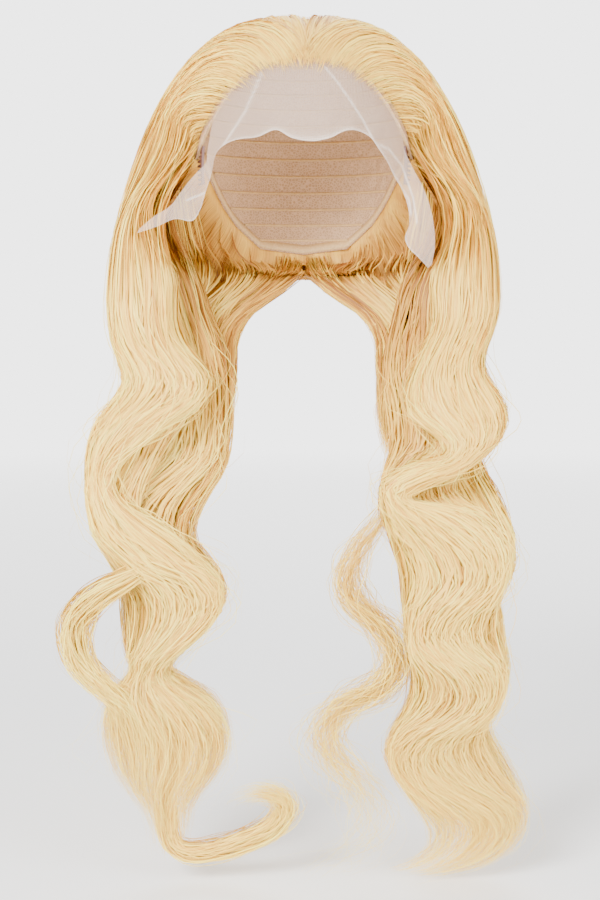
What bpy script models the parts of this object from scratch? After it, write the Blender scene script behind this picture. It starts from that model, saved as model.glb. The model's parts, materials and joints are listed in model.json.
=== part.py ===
"""A long, wavy, pale blonde lace front wig in its worn form: a hollow cap, a sheer lace panel, two side
combs, hair sections sewn over the cap, and loose locks that hang forward on both sides.

Sizes are millimetres and become metres where a mesh is made. The origin is the inside top of the cap,
where the head holds it. +Z is up, the face opening looks along -Y, and +X is the wearer's left.
"""

import math
from collections import namedtuple

import bmesh
import bpy
from mathutils import Vector

MM = 0.001
GAP = 0.35

# The head that the cap fits, as an ellipsoid whose top is the origin.
HEAD_HALF_WIDTH = 75.0
HEAD_HALF_DEPTH = 95.0
HEAD_HALF_HEIGHT = 95.0
HEAD_CENTRE = Vector((0, 0, -HEAD_HALF_HEIGHT))

CAP_WALL = 1.2
LACE_WALL = 1.0
LACE_STARTS_BELOW_RIM = 0.8  # degrees
CROWN_EDGE = 20.0  # degrees from the top, where the crown section of hair ends
HAIR_BOTTOM = -165.0  # height at which the hair on the cap turns into loose locks
HAIRLINE_THICKNESS = 2.5
HAIR_CLEARANCE = 1.2  # from the cap's outside to the hair's underside, where both have flat facets

# The hair has its full depth this many degrees behind the hairline. The change from the temple's
# value to the forehead's starts at TEMPLE_DOWN and takes TEMPLE_BLEND degrees upwards.
DEEP_AT_FOREHEAD = 34.0
DEEP_AT_TEMPLE = 12.0
TEMPLE_DOWN = 84.0
TEMPLE_BLEND = 40.0

# Below the temple the hairline runs this many degrees forward for each degree down.
TEMPLE_AROUND = 76.0
HAIRLINE_SLANT = 3.0

# The hair sections on each side of the cap: where each starts and ends, in degrees round from the face.
FRONT_HAIR = (0.0, 74.0)
SIDE_HAIR = (76.0, 128.0)
BACK_HAIR = (128.0, 180.0)
FRONT_HAIR_ABOVE_RIM = 1.0  # degrees
CROWN_GAP = 0.25  # degrees between the crown section and those below it
SECTION_ROWS = 12
DEGREES_A_COLUMN = 9.0

# The photograph's view, in which the lace and the locks are measured: one pixel is 0.7 mm at the head.
EYE = Vector((-2.8, -1250.0, -178.0))
AIM_HEIGHT = -290.0
MM_PER_PIXEL = 0.7
MIDDLE_PIXEL = (300.0, 450.0)

# Rows go round the head from the middle of the face (0 degrees) to the middle of the back (180).
# rim is where the cap ends, in degrees down from the top of the head.
Rim = namedtuple("Rim", "around rim")
CAP_RIM = [
    Rim(0, 36),
    Rim(20, 38),
    Rim(38, 50),
    Rim(52, 66),
    Rim(64, 79),
    Rim(76, 88),
    Rim(88, 86),
    Rim(102, 84),
    Rim(118, 93),
    Rim(134, 112),
    Rim(150, 124),
    Rim(180, 127),
]

# How far the hair stands from the head's centre, going down from the top.
Spread = namedtuple("Spread", "down front side back")
HAIR_SPREAD = [
    Spread(0, 111, 111, 111),
    Spread(20, 109, 112, 113),
    Spread(40, 105, 112, 114),
    Spread(60, 104, 110, 114),
    Spread(75, 106, 112, 114),
    Spread(90, 110, 121, 116),
    Spread(105, 116, 137, 122),
    Spread(117, 128, 155, 131),
    Spread(125, 136, 164, 138),
]

# The lace runs from the tip of one ear tab, up over the forehead, to the tip of the other. Each row
# has the upper and the lower edge in the photograph, and where each lies from front (-) to back (+).
# Where a depth is None the edge lies on the head.
Lace = namedtuple("Lace", "top_x top_y low_x low_y top_depth low_depth")
LACE = [
    Lace(139, 229, 137, 233, -50, -50),
    Lace(153, 217, 158, 226, -54, -55),
    Lace(170, 206, 175, 219, -57, -58),
    Lace(180, 193, 192, 221, -58, -58),
    Lace(189, 181, 200, 210, -58, -57),
    Lace(198, 171, 205, 194, -57, -55),
    Lace(206, 162, 211, 175, -55, -54),
    Lace(208, 147, 216, 154, None, None),
    Lace(213, 120, 226, 144, None, None),
    Lace(222, 95, 240, 139, None, None),
    Lace(238, 76, 258, 137, None, None),
    Lace(262, 66, 276, 130, None, None),
    Lace(287, 63, 292, 138, None, None),
    Lace(306, 63, 312, 141, None, None),
    Lace(325, 66, 330, 138, None, None),
    Lace(343, 73, 345, 131, None, None),
    Lace(362, 82, 358, 131, None, None),
    Lace(380, 93, 370, 137, None, None),
    Lace(391, 104, 378, 148, None, None),
    Lace(397, 119, 386, 160, None, None),
    Lace(402, 135, 394, 176, None, None),
    Lace(405, 151, 402, 190, None, -50),
    Lace(414, 170, 408, 207, -45, -50),
    Lace(423, 187, 409, 224, -50, -52),
    Lace(430, 206, 405, 238, -54, -54),
    Lace(434, 226, 409, 248, -56, -54),
    Lace(435, 246, 418, 257, -56, -54),
    Lace(432, 264, 428, 268, -54, -53),
]

# A lock is a ladder of rungs. Each rung joins the edge nearer the neck to the outer edge, both in the
# photograph's pixels; depth is where its middle lies from front (-) to back (+), thick its depth through.
Rung = namedtuple("Rung", "in_x in_y out_x out_y depth thick")
LOCKS = {
    "left_front_lock": [
        Rung(424, 272, 501, 272, -14, 52),
        Rung(429, 300, 501, 300, -18, 50),
        Rung(428, 325, 496, 325, -26, 46),
        Rung(418, 350, 487, 350, -36, 42),
        Rung(408, 372, 486, 368, -44, 40),
        Rung(402, 392, 495, 384, -50, 38),
        Rung(403, 410, 505, 400, -56, 36),
        Rung(418, 424, 508, 416, -62, 34),
        Rung(436, 436, 503, 434, -66, 32),
        Rung(444, 447, 489, 450, -70, 30),
        Rung(438, 456, 464, 470, -76, 28),
        Rung(415, 461, 430, 485, -82, 26),
        Rung(398, 466, 402, 497, -86, 22),
        Rung(383, 475, 387, 500, -86, 14),
    ],
    "left_inner_lock": [
        Rung(400, 272, 486, 272, 38, 44),
        Rung(392, 310, 488, 310, 25, 38),
        Rung(384, 345, 478, 345, 10, 36),
        Rung(381, 375, 480, 375, -6, 34),
        Rung(384, 400, 494, 400, -18, 34),
        Rung(388, 425, 495, 425, -27, 32),
        Rung(388, 448, 482, 448, -35, 30),
        Rung(384, 470, 490, 466, -44, 30),
        Rung(380, 494, 504, 488, -52, 38),
        Rung(381, 515, 513, 512, -60, 58),
        Rung(384, 535, 515, 540, -63, 62),
        Rung(390, 557, 512, 564, -65, 62),
        Rung(394, 578, 503, 586, -66, 60),
        Rung(399, 597, 498, 598, -66, 56),
        Rung(403, 615, 505, 613, -66, 56),
        Rung(405, 638, 509, 635, -66, 60),
        Rung(405, 662, 508, 662, -66, 60),
        Rung(404, 685, 504, 687, -66, 56),
        Rung(400, 705, 495, 708, -66, 52),
        Rung(393, 724, 489, 722, -66, 42),
        Rung(387, 742, 502, 740, -66, 52),
        Rung(390, 762, 514, 758, -66, 54),
        Rung(400, 780, 521, 776, -66, 54),
        Rung(412, 800, 525, 796, -66, 42),
        Rung(424, 820, 524, 816, -66, 36),
        Rung(428, 838, 517, 836, -66, 30),
        Rung(418, 854, 500, 853, -66, 24),
        Rung(398, 865, 470, 866, -66, 16),
        Rung(380, 868, 425, 874, -66, 9),
    ],
    "left_neck_lock": [
        Rung(307, 272, 424, 272, 90, 42),
        Rung(328, 290, 446, 290, 79, 40),
        Rung(358, 312, 458, 312, 66, 37),
        Rung(374, 336, 462, 336, 51, 34),
        Rung(376, 362, 456, 362, 36, 32),
        Rung(377, 385, 445, 390, 24, 30),
        Rung(379, 415, 438, 415, 8, 26),
        Rung(384, 445, 430, 445, -7, 20),
        Rung(390, 470, 422, 470, -18, 12),
    ],
    "right_front_lock": [
        Rung(182, 272, 107, 272, -14, 52),
        Rung(178, 295, 105, 295, -17, 50),
        Rung(178, 318, 107, 318, -24, 46),
        Rung(186, 342, 110, 342, -34, 42),
        Rung(203, 362, 117, 362, -44, 38),
        Rung(214, 380, 121, 381, -52, 36),
        Rung(207, 401, 111, 399, -58, 34),
        Rung(181, 418, 98, 416, -64, 32),
        Rung(150, 440, 89, 438, -68, 30),
        Rung(125, 460, 87, 462, -71, 26),
        Rung(106, 482, 88, 486, -74, 20),
        Rung(97, 505, 90, 510, -74, 12),
        Rung(95, 530, 91, 533, -72, 8),
        Rung(94, 550, 91, 552, -70, 6),
    ],
    "right_inner_lock": [
        Rung(203, 272, 120, 272, 38, 44),
        Rung(212, 310, 120, 310, 25, 38),
        Rung(228, 345, 122, 350, 10, 36),
        Rung(234, 375, 125, 385, -8, 34),
        Rung(234, 400, 128, 415, -20, 34),
        Rung(233, 425, 125, 440, -29, 34),
        Rung(231, 450, 112, 462, -37, 36),
        Rung(228, 472, 103, 484, -46, 42),
        Rung(217, 494, 99, 508, -54, 50),
        Rung(205, 516, 99, 533, -60, 62),
        Rung(199, 538, 110, 555, -64, 62),
        Rung(208, 553, 117, 575, -66, 62),
        Rung(222, 576, 116, 597, -66, 64),
        Rung(225, 599, 116, 618, -66, 64),
        Rung(213, 620, 121, 640, -66, 60),
        Rung(191, 641, 129, 656, -66, 54),
        Rung(170, 661, 134, 668, -66, 40),
        Rung(178, 676, 123, 682, -66, 42),
        Rung(207, 690, 107, 700, -66, 56),
        Rung(226, 712, 102, 722, -66, 60),
        Rung(231, 735, 104, 745, -66, 60),
        Rung(225, 760, 112, 765, -66, 56),
        Rung(209, 782, 126, 785, -66, 42),
        Rung(194, 802, 140, 803, -66, 34),
        Rung(190, 822, 149, 823, -66, 28),
        Rung(186, 842, 153, 843, -66, 22),
        Rung(178, 860, 158, 861, -66, 14),
    ],
    "right_neck_lock": [
        Rung(301, 272, 184, 272, 90, 42),
        Rung(280, 290, 163, 290, 79, 40),
        Rung(252, 312, 151, 312, 66, 37),
        Rung(238, 336, 150, 336, 51, 34),
        Rung(236, 362, 158, 362, 36, 32),
        Rung(235, 385, 165, 390, 22, 28),
        Rung(230, 415, 170, 415, 6, 24),
        Rung(220, 445, 175, 445, -8, 14),
        Rung(205, 470, 180, 470, -15, 8),
    ],
}

# A thin lock follows a path of pixels and has a width across it.
Step = namedtuple("Step", "x y width depth thick")
THIN_LOCKS = {
    "left_thin_lock": [
        Step(377, 522, 12, -62, 12),
        Step(359, 545, 15, -64, 14),
        Step(348, 570, 16, -66, 14),
        Step(350, 592, 16, -66, 14),
        Step(364, 611, 15, -66, 14),
        Step(382, 628, 14, -66, 14),
        Step(394, 649, 14, -66, 14),
        Step(393, 671, 14, -66, 14),
        Step(374, 690, 14, -66, 14),
        Step(346, 703, 14, -66, 14),
        Step(330, 721, 14, -66, 14),
        Step(325, 741, 14, -66, 14),
        Step(334, 760, 14, -66, 14),
        Step(349, 777, 14, -66, 13),
        Step(362, 796, 13, -66, 12),
        Step(369, 815, 12, -66, 11),
        Step(367, 835, 11, -66, 10),
        Step(356, 851, 10, -66, 9),
        Step(338, 862, 9, -66, 8),
        Step(316, 867, 8, -66, 7),
        Step(295, 861, 5, -66, 5),
    ],
    "right_outer_lock": [
        Step(146, 567, 10, -99.1, 6),
        Step(125, 578, 15, -100, 9),
        Step(101, 590, 20, -95, 15),
        Step(83, 603, 23, -84, 20),
        Step(72, 619, 25, -76, 22),
        Step(70, 638, 26, -72, 22),
        Step(75, 656, 26, -70, 22),
        Step(87, 673, 24, -70, 18),
        Step(103, 685, 18, -84, 12),
        Step(119, 695, 12, -96, 7),
    ],
    "right_end_curl": [
        Step(186, 852, 11, -66, 11),
        Step(213, 845, 14, -68, 13),
        Step(245, 838, 15, -70, 13),
        Step(270, 826, 15, -72, 12),
        Step(284, 809, 13, -74, 11),
        Step(280, 796, 12, -76, 10),
        Step(263, 790, 11, -76, 9),
        Step(246, 795, 9, -74, 7),
        Step(234, 806, 6, -72, 5),
    ],
}

OVAL_POWER = 0.62
LOCK_SIDES = 12
THIN_LOCK_SIDES = 8

COMB_LENGTH = 26.0
COMB_TEETH = 9
COMB_SPINE = 4.0
COMB_TOOTH_LENGTH = 12.0
COMB_TOOTH_WIDTH = 1.4
COMB_THICKNESS = 1.6
COMB_INSET = 0.9  # from the cap's inside, which has flat facets
COMB_AROUND = 68.0  # degrees round from the middle of the face
COMB_DOWN = 90.0  # degrees down from the top

HAIR_COLOUR = (0.83, 0.66, 0.36, 1)
LACE_COLOUR = (0.66, 0.46, 0.37, 1)
CAP_COLOUR = (0.60, 0.45, 0.32, 1)
COMB_COLOUR = (0.12, 0.06, 0.05, 1)


def clear_scene():
    for old in list(bpy.data.objects):
        bpy.data.objects.remove(old, do_unlink=True)


def make_material(name, colour, roughness):
    material = bpy.data.materials.new(name)
    material.use_nodes = True
    shader = material.node_tree.nodes["Principled BSDF"]
    shader.inputs["Base Color"].default_value = colour
    shader.inputs["Roughness"].default_value = roughness
    shader.inputs["Metallic"].default_value = 0.0
    return material


def read_table(rows, key, at, column):
    """The column's value at a place between the table's rows, in straight lines."""
    if at <= getattr(rows[0], key):
        return getattr(rows[0], column)
    for low, high in zip(rows, rows[1:]):
        start, end = getattr(low, key), getattr(high, key)
        if at <= end:
            part = (at - start) / (end - start)
            return getattr(low, column) * (1 - part) + getattr(high, column) * part
    return getattr(rows[-1], column)


def smooth(value):
    value = min(1.0, max(0.0, value))
    return value * value * (3 - 2 * value)


def way_out(down, around):
    """The direction from the head's centre, from degrees down from the top and round from the face."""
    down, around = math.radians(down), math.radians(around)
    return Vector((math.sin(down) * math.sin(around), -math.sin(down) * math.cos(around), math.cos(down)))


def head_point(down, around, out=0.0):
    way = way_out(down, around)
    half = (HEAD_HALF_WIDTH + out, HEAD_HALF_DEPTH + out, HEAD_HALF_HEIGHT + out)
    return HEAD_CENTRE + Vector(size * part for size, part in zip(half, way))


def head_radius(down, around):
    """How far the head reaches from its centre, straight along a direction."""
    way = way_out(down, around)
    squares = (
        (way.x / HEAD_HALF_WIDTH) ** 2
        + (way.y / HEAD_HALF_DEPTH) ** 2
        + (way.z / HEAD_HALF_HEIGHT) ** 2
    )
    return 1 / math.sqrt(squares)


def cap_rim(around):
    return read_table(CAP_RIM, "around", abs(around), "rim")


def view_ray(pixel_x, pixel_y):
    """The way that the photograph looks at a pixel, scaled to go 1 mm back."""
    to_aim = Vector((0, -EYE.y, AIM_HEIGHT - EYE.z))
    ahead = to_aim.normalized()
    up = Vector((0, -ahead.z, ahead.y))
    pixels_away = to_aim.length / MM_PER_PIXEL
    right = (pixel_x - MIDDLE_PIXEL[0]) / pixels_away
    rise = (MIDDLE_PIXEL[1] - pixel_y) / pixels_away
    ray = ahead + up * rise + Vector((right, 0, 0))
    return ray / ray.y


def at_pixel(pixel_x, pixel_y, depth):
    return EYE + view_ray(pixel_x, pixel_y) * (depth - EYE.y)


def head_at_pixel(pixel_x, pixel_y, out):
    """The nearest point of the head, this far out of its surface, that the photograph sees there."""
    ray = view_ray(pixel_x, pixel_y)
    half = (HEAD_HALF_WIDTH + out, HEAD_HALF_DEPTH + out, HEAD_HALF_HEIGHT + out)
    start = Vector(part / size for part, size in zip(EYE - HEAD_CENTRE, half))
    step = Vector(part / size for part, size in zip(ray, half))
    along = -start.dot(step) / step.dot(step)
    nearest = start + step * along
    inside = 1 - nearest.dot(nearest)
    if inside > 0:
        along -= math.sqrt(inside / step.dot(step))
    return EYE + ray * along


def add_object(name, mesh_data, material):
    mesh = bpy.data.meshes.new(name)
    mesh_data.normal_update()
    mesh_data.to_mesh(mesh)
    mesh_data.free()
    mesh.shade_smooth()
    mesh.set_sharp_from_angle(angle=math.radians(50))
    piece = bpy.data.objects.new(name, mesh)
    piece.data.materials.append(material)
    bpy.context.scene.collection.objects.link(piece)
    return piece


def shell_between(name, outer, inner, material, closed_round):
    """One closed wall between two grids of points, each a list of rows from the top down.

    Where it is closed round the head, its first row is a single point at the top.
    """
    mesh = bmesh.new()
    skins = [[[mesh.verts.new(point * MM) for point in row] for row in grid] for grid in (outer, inner)]
    columns = len(outer[-1])
    pairs = [(i, (i + 1) % columns) for i in range(columns if closed_round else columns - 1)]
    for skin in skins:
        for above, below in zip(skin, skin[1:]):
            for a, b in pairs:
                if len(above) == 1:
                    mesh.faces.new((above[0], below[a], below[b]))
                else:
                    mesh.faces.new((above[a], below[a], below[b], above[b]))
    edges = [(skins[0][-1], skins[1][-1], pairs)]
    if not closed_round:
        edges.append((skins[0][0], skins[1][0], pairs))
        rows = [(i, i + 1) for i in range(len(outer) - 1)]
        for column in (0, -1):
            edges.append(([row[column] for row in skins[0]], [row[column] for row in skins[1]], rows))
    for first, second, steps in edges:
        for a, b in steps:
            mesh.faces.new((first[a], first[b], second[b], second[a]))
    bmesh.ops.recalc_face_normals(mesh, faces=mesh.faces)
    return add_object(name, mesh, material)


def make_cap(material):
    columns, rows = 48, 12
    turns = [360.0 * column / columns - 180 for column in range(columns)]

    def grid(out):
        points = [[head_point(0, 0, out)]]
        for row in range(1, rows + 1):
            points.append([head_point(cap_rim(turn) * row / rows, turn, out) for turn in turns])
        return points

    return shell_between("cap", grid(CAP_WALL), grid(0.0), material, True)


def make_lace(material):
    """The panel is built as its middle surface, and Solidify gives it its wall."""
    across = 5
    middle = LACE_WALL / 2

    def on_forehead(pixel_x, pixel_y):
        """The point of the head at a pixel, or the point below the cap's rim if it is above that."""
        way = head_at_pixel(pixel_x, pixel_y, 0.0) - HEAD_CENTRE
        way = Vector((way.x / HEAD_HALF_WIDTH, way.y / HEAD_HALF_DEPTH, way.z / HEAD_HALF_HEIGHT))
        around = math.degrees(math.atan2(way.x, -way.y))
        down = math.degrees(math.acos(max(-1.0, min(1.0, way.z / way.length))))
        return head_point(max(down, cap_rim(around) + LACE_STARTS_BELOW_RIM), around, middle)

    def edge(pixel_x, pixel_y, depth):
        if depth is None:
            return on_forehead(pixel_x, pixel_y)
        return at_pixel(pixel_x, pixel_y, depth)

    mesh = bmesh.new()
    grid = []
    for row in LACE:
        on_head = row.top_depth is None and row.low_depth is None
        top = edge(row.top_x, row.top_y, row.top_depth)
        low = edge(row.low_x, row.low_y, row.low_depth)
        line = []
        for i in range(across + 1):
            part = i / across
            point = top.lerp(low, part)
            if on_head:
                pixel_x = row.top_x * (1 - part) + row.low_x * part
                pixel_y = row.top_y * (1 - part) + row.low_y * part
                point = on_forehead(pixel_x, pixel_y)
            line.append(mesh.verts.new(point * MM))
        grid.append(line)
    for first, second in zip(grid, grid[1:]):
        for i in range(across):
            mesh.faces.new((first[i], first[i + 1], second[i + 1], second[i]))
    bmesh.ops.recalc_face_normals(mesh, faces=mesh.faces)
    piece = add_object("lace_front", mesh, material)
    wall = piece.modifiers.new("wall", "SOLIDIFY")
    wall.thickness = LACE_WALL * MM
    wall.offset = 0.0
    return piece


def make_comb(name, side, material):
    """A spine down the temple with teeth that point back, bent to lie inside the cap."""
    out_of_head = -COMB_INSET - COMB_THICKNESS
    degrees_per_mm = math.degrees(1 / HEAD_HALF_HEIGHT)
    mesh = bmesh.new()

    def corner(back, down, out):
        return head_point(COMB_DOWN + down * degrees_per_mm, side * (COMB_AROUND + back * degrees_per_mm), out)

    tooth_step = (COMB_LENGTH - COMB_TOOTH_WIDTH) / (COMB_TEETH - 1)
    heights = []
    for tooth in range(COMB_TEETH):
        start = tooth * tooth_step - COMB_LENGTH / 2
        heights.extend((start, start + COMB_TOOTH_WIDTH))
    front = [[mesh.verts.new(corner(0, h, out) * MM) for out in (out_of_head, -COMB_INSET)] for h in heights]
    back = [[mesh.verts.new(corner(COMB_SPINE, h, out) * MM) for out in (out_of_head, -COMB_INSET)] for h in heights]
    for i in range(len(heights) - 1):
        mesh.faces.new((front[i][0], front[i + 1][0], front[i + 1][1], front[i][1]))
        mesh.faces.new((front[i][0], front[i + 1][0], back[i + 1][0], back[i][0]))
        mesh.faces.new((front[i][1], front[i + 1][1], back[i + 1][1], back[i][1]))
        if i % 2:
            mesh.faces.new((back[i][0], back[i + 1][0], back[i + 1][1], back[i][1]))
    for end in (0, -1):
        mesh.faces.new((front[end][0], front[end][1], back[end][1], back[end][0]))
    for tooth in range(COMB_TEETH):
        low, high = back[2 * tooth], back[2 * tooth + 1]
        steps = 3
        previous = [low[0], high[0], high[1], low[1]]
        for i in range(1, steps + 1):
            reach = COMB_SPINE + COMB_TOOTH_LENGTH * i / steps
            ring = [
                mesh.verts.new(corner(reach, heights[2 * tooth], out_of_head) * MM),
                mesh.verts.new(corner(reach, heights[2 * tooth + 1], out_of_head) * MM),
                mesh.verts.new(corner(reach, heights[2 * tooth + 1], -COMB_INSET) * MM),
                mesh.verts.new(corner(reach, heights[2 * tooth], -COMB_INSET) * MM),
            ]
            for j in range(4):
                mesh.faces.new((previous[j], previous[(j + 1) % 4], ring[(j + 1) % 4], ring[j]))
            previous = ring
        mesh.faces.new(previous)
    bmesh.ops.recalc_face_normals(mesh, faces=mesh.faces)
    return add_object(name, mesh, material)


def hair_reach(down, around):
    """How far the outside of the hair stands from the head's centre.

    It is thin at the hairline and reaches its full depth some way behind it.
    """
    around = abs(around)
    front = read_table(HAIR_SPREAD, "down", down, "front")
    side = read_table(HAIR_SPREAD, "down", down, "side")
    back = read_table(HAIR_SPREAD, "down", down, "back")
    if around < 90:
        full = front + (side - front) * smooth(around / 90)
    else:
        full = side + (back - side) * smooth((around - 90) / 90)
    behind_hairline = max(cap_rim(around) - down, around - hairline_around(down))
    span = DEEP_AT_TEMPLE + (DEEP_AT_FOREHEAD - DEEP_AT_TEMPLE) * smooth((TEMPLE_DOWN - down) / TEMPLE_BLEND)
    thin = head_radius(down, around) + CAP_WALL + HAIR_CLEARANCE + HAIRLINE_THICKNESS
    return thin + (full - thin) * smooth(behind_hairline / span)


def hairline_around(down):
    """How far round the hairline is at this many degrees down. Below the temples it stays there."""
    front = [row for row in CAP_RIM if row.around <= TEMPLE_AROUND]
    if down > front[-1].rim:
        return TEMPLE_AROUND - HAIRLINE_SLANT * (down - front[-1].rim)
    return read_table(front, "rim", down, "around")


def hair_section(name, material, start, end, hangs):
    """Hair on the cap between two places round the head, from the crown's edge to its lower edge.

    Hair that hangs ends level at HAIR_BOTTOM. Other hair ends at the hairline.
    """
    columns, rows = round(abs(end - start) / DEGREES_A_COLUMN), SECTION_ROWS

    def lower_edge(around):
        """Degrees down of the inner and the outer skin at the lower edge."""
        if not hangs:
            rim = cap_rim(around) - FRONT_HAIR_ABOVE_RIM
            return rim, rim
        level = HAIR_BOTTOM - HEAD_CENTRE.z
        inner = math.degrees(math.acos(level / HEAD_HALF_HEIGHT))
        outer, step = 100.0, 0.05
        while hair_reach(outer, around) * math.cos(math.radians(outer)) > level:
            outer += step
        return inner, outer

    outer_grid, inner_grid = [], []
    for row in range(rows + 1):
        outer_row, inner_row = [], []
        for column in range(columns + 1):
            around = start + (end - start) * column / columns
            inner_end, outer_end = lower_edge(around)
            part = row / rows
            inner_down = CROWN_EDGE + (inner_end - CROWN_EDGE) * part
            outer_down = CROWN_EDGE + (outer_end - CROWN_EDGE) * part
            aside = Vector((math.cos(math.radians(around)), math.sin(math.radians(around)), 0))
            shift = aside * (GAP / 2) * ((column == 0) - (column == columns))
            shift = shift if end > start else -shift
            inside = head_point(inner_down, around, CAP_WALL + HAIR_CLEARANCE) + shift
            reach = hair_reach(outer_down, around)
            outside = HEAD_CENTRE + way_out(outer_down, around) * reach + shift
            if hangs and row == rows:
                inside.z = outside.z = HAIR_BOTTOM
            inner_row.append(inside)
            outer_row.append(outside)
        outer_grid.append(outer_row)
        inner_grid.append(inner_row)
    return shell_between(name, outer_grid, inner_grid, material, False)


def make_crown(material):
    columns, rows = 24, 3
    turns = [360.0 * column / columns - 180 for column in range(columns)]
    edge = CROWN_EDGE - CROWN_GAP
    inner = [[head_point(0, 0, CAP_WALL + HAIR_CLEARANCE)]]
    outer = [[HEAD_CENTRE + Vector((0, 0, hair_reach(0, 0)))]]
    for row in range(1, rows + 1):
        down = edge * row / rows
        inner.append([head_point(down, turn, CAP_WALL + HAIR_CLEARANCE) for turn in turns])
        outer.append([HEAD_CENTRE + way_out(down, turn) * hair_reach(down, turn) for turn in turns])
    return shell_between("crown_hair", outer, inner, material, True)


def fuller(part):
    """Makes an oval squarer, by raising its cosine or sine to a power below 1."""
    return math.copysign(abs(part) ** OVAL_POWER, part)


def ladder_solid(name, rungs, sides, material):
    """One closed lock: an oval ring round each rung, bridged from top to tip."""
    mesh = bmesh.new()
    rings = []
    for inner, outer, thick in rungs:
        middle, half = (inner + outer) / 2, (outer - inner) / 2
        through = Vector((0, thick / 2, 0))
        ring = []
        for side in range(sides):
            turn = 2 * math.pi * side / sides
            point = middle + half * fuller(math.cos(turn)) + through * fuller(math.sin(turn))
            ring.append(mesh.verts.new(point * MM))
        rings.append(ring)
    for first, second in zip(rings, rings[1:]):
        for i in range(sides):
            mesh.faces.new((first[i], first[(i + 1) % sides], second[(i + 1) % sides], second[i]))
    mesh.faces.new(rings[0])
    mesh.faces.new(rings[-1])
    bmesh.ops.recalc_face_normals(mesh, faces=mesh.faces)
    return add_object(name, mesh, material)


def make_lock(name, rows, material):
    """The first rung is level, just under the hair on the cap."""
    rungs = []
    for row in rows:
        inner = at_pixel(row.in_x, row.in_y, row.depth)
        outer = at_pixel(row.out_x, row.out_y, row.depth)
        if row is rows[0]:
            inner.z = outer.z = HAIR_BOTTOM - GAP
        rungs.append((inner, outer, row.thick))
    return ladder_solid(name, rungs, LOCK_SIDES, material)


def make_thin_lock(name, rows, material):
    rungs = []
    for i, row in enumerate(rows):
        before, after = rows[max(i - 1, 0)], rows[min(i + 1, len(rows) - 1)]
        along = Vector((after.x - before.x, after.y - before.y)).normalized()
        half = row.width / 2
        inner = at_pixel(row.x - along.y * half, row.y + along.x * half, row.depth)
        outer = at_pixel(row.x + along.y * half, row.y - along.x * half, row.depth)
        rungs.append((inner, outer, row.thick))
    return ladder_solid(name, rungs, THIN_LOCK_SIDES, material)


def main():
    clear_scene()
    hair = make_material("hair", HAIR_COLOUR, 0.45)
    lace = make_material("lace", LACE_COLOUR, 0.7)
    net = make_material("cap_net", CAP_COLOUR, 0.75)
    comb = make_material("comb", COMB_COLOUR, 0.35)
    make_cap(net)
    make_lace(lace)
    make_comb("comb_left", 1, comb)
    make_comb("comb_right", -1, comb)
    make_crown(hair)
    sections = {"front_hair": FRONT_HAIR, "side_hair": SIDE_HAIR, "back_hair": BACK_HAIR}
    for label, side in (("left", 1), ("right", -1)):
        for section, (start, end) in sections.items():
            hangs = section != "front_hair"
            hair_section(f"{section}_{label}", hair, side * start, side * end, hangs)
    for name, rows in LOCKS.items():
        make_lock(name, rows, hair)
    for name, rows in THIN_LOCKS.items():
        make_thin_lock(name, rows, hair)


main()
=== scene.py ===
# %% [markdown]
# # A long wavy lace front wig
#
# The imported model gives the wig's plain solids. This lesson dresses them: a stretch net cap with sewn
# rows of weft, a sheer lace panel with a cut edge, two small combs, and pale blonde hair that is swept
# back from the hairline and falls forward over both shoulders in long body waves.
#
# A wig is mostly its hair. Thousands of fine strands could be a particle system, but such hair is not a
# mesh and would be lost outside Blender. So here every strand is a very thin ribbon of mesh. Lengths are
# in millimetres until a mesh is made.

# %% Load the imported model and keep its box
import json
import math

import bpy
import numpy as np
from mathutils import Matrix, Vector

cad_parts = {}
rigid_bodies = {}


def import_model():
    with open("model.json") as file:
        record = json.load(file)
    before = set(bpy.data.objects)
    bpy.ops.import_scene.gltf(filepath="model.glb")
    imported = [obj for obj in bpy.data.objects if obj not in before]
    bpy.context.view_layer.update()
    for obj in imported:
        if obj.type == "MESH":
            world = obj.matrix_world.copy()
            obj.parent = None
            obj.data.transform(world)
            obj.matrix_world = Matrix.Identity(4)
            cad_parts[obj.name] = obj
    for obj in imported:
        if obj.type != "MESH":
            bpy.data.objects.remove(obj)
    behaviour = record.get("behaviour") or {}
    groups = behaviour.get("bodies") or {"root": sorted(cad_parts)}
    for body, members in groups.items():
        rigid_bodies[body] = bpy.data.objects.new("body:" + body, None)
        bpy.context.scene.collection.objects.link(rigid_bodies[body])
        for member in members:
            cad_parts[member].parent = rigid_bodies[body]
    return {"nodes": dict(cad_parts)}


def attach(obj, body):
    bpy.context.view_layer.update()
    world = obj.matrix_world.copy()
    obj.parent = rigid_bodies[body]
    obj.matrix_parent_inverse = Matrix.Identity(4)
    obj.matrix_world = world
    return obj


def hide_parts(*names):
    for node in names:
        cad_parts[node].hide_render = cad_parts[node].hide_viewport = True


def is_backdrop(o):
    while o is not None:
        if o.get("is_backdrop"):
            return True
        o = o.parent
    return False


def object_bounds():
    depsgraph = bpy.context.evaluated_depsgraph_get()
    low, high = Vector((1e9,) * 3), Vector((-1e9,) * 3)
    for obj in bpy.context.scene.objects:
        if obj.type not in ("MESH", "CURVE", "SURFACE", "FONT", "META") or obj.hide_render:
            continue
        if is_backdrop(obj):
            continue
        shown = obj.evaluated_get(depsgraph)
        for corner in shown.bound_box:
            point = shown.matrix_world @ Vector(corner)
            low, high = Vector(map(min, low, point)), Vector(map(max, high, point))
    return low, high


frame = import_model()
# A new scene's own cube, lamp and camera would count in the box.
for name in ("Cube", "Light", "Camera"):
    if name in bpy.data.objects:
        bpy.data.objects.remove(bpy.data.objects[name], do_unlink=True)
cad_low, cad_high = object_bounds()
bpy.ops.object.select_all(action="DESELECT")
MM = 0.001
print("nodes:", len(frame["nodes"]), "box", [round(x, 3) for x in (*cad_low, *cad_high)])

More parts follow.
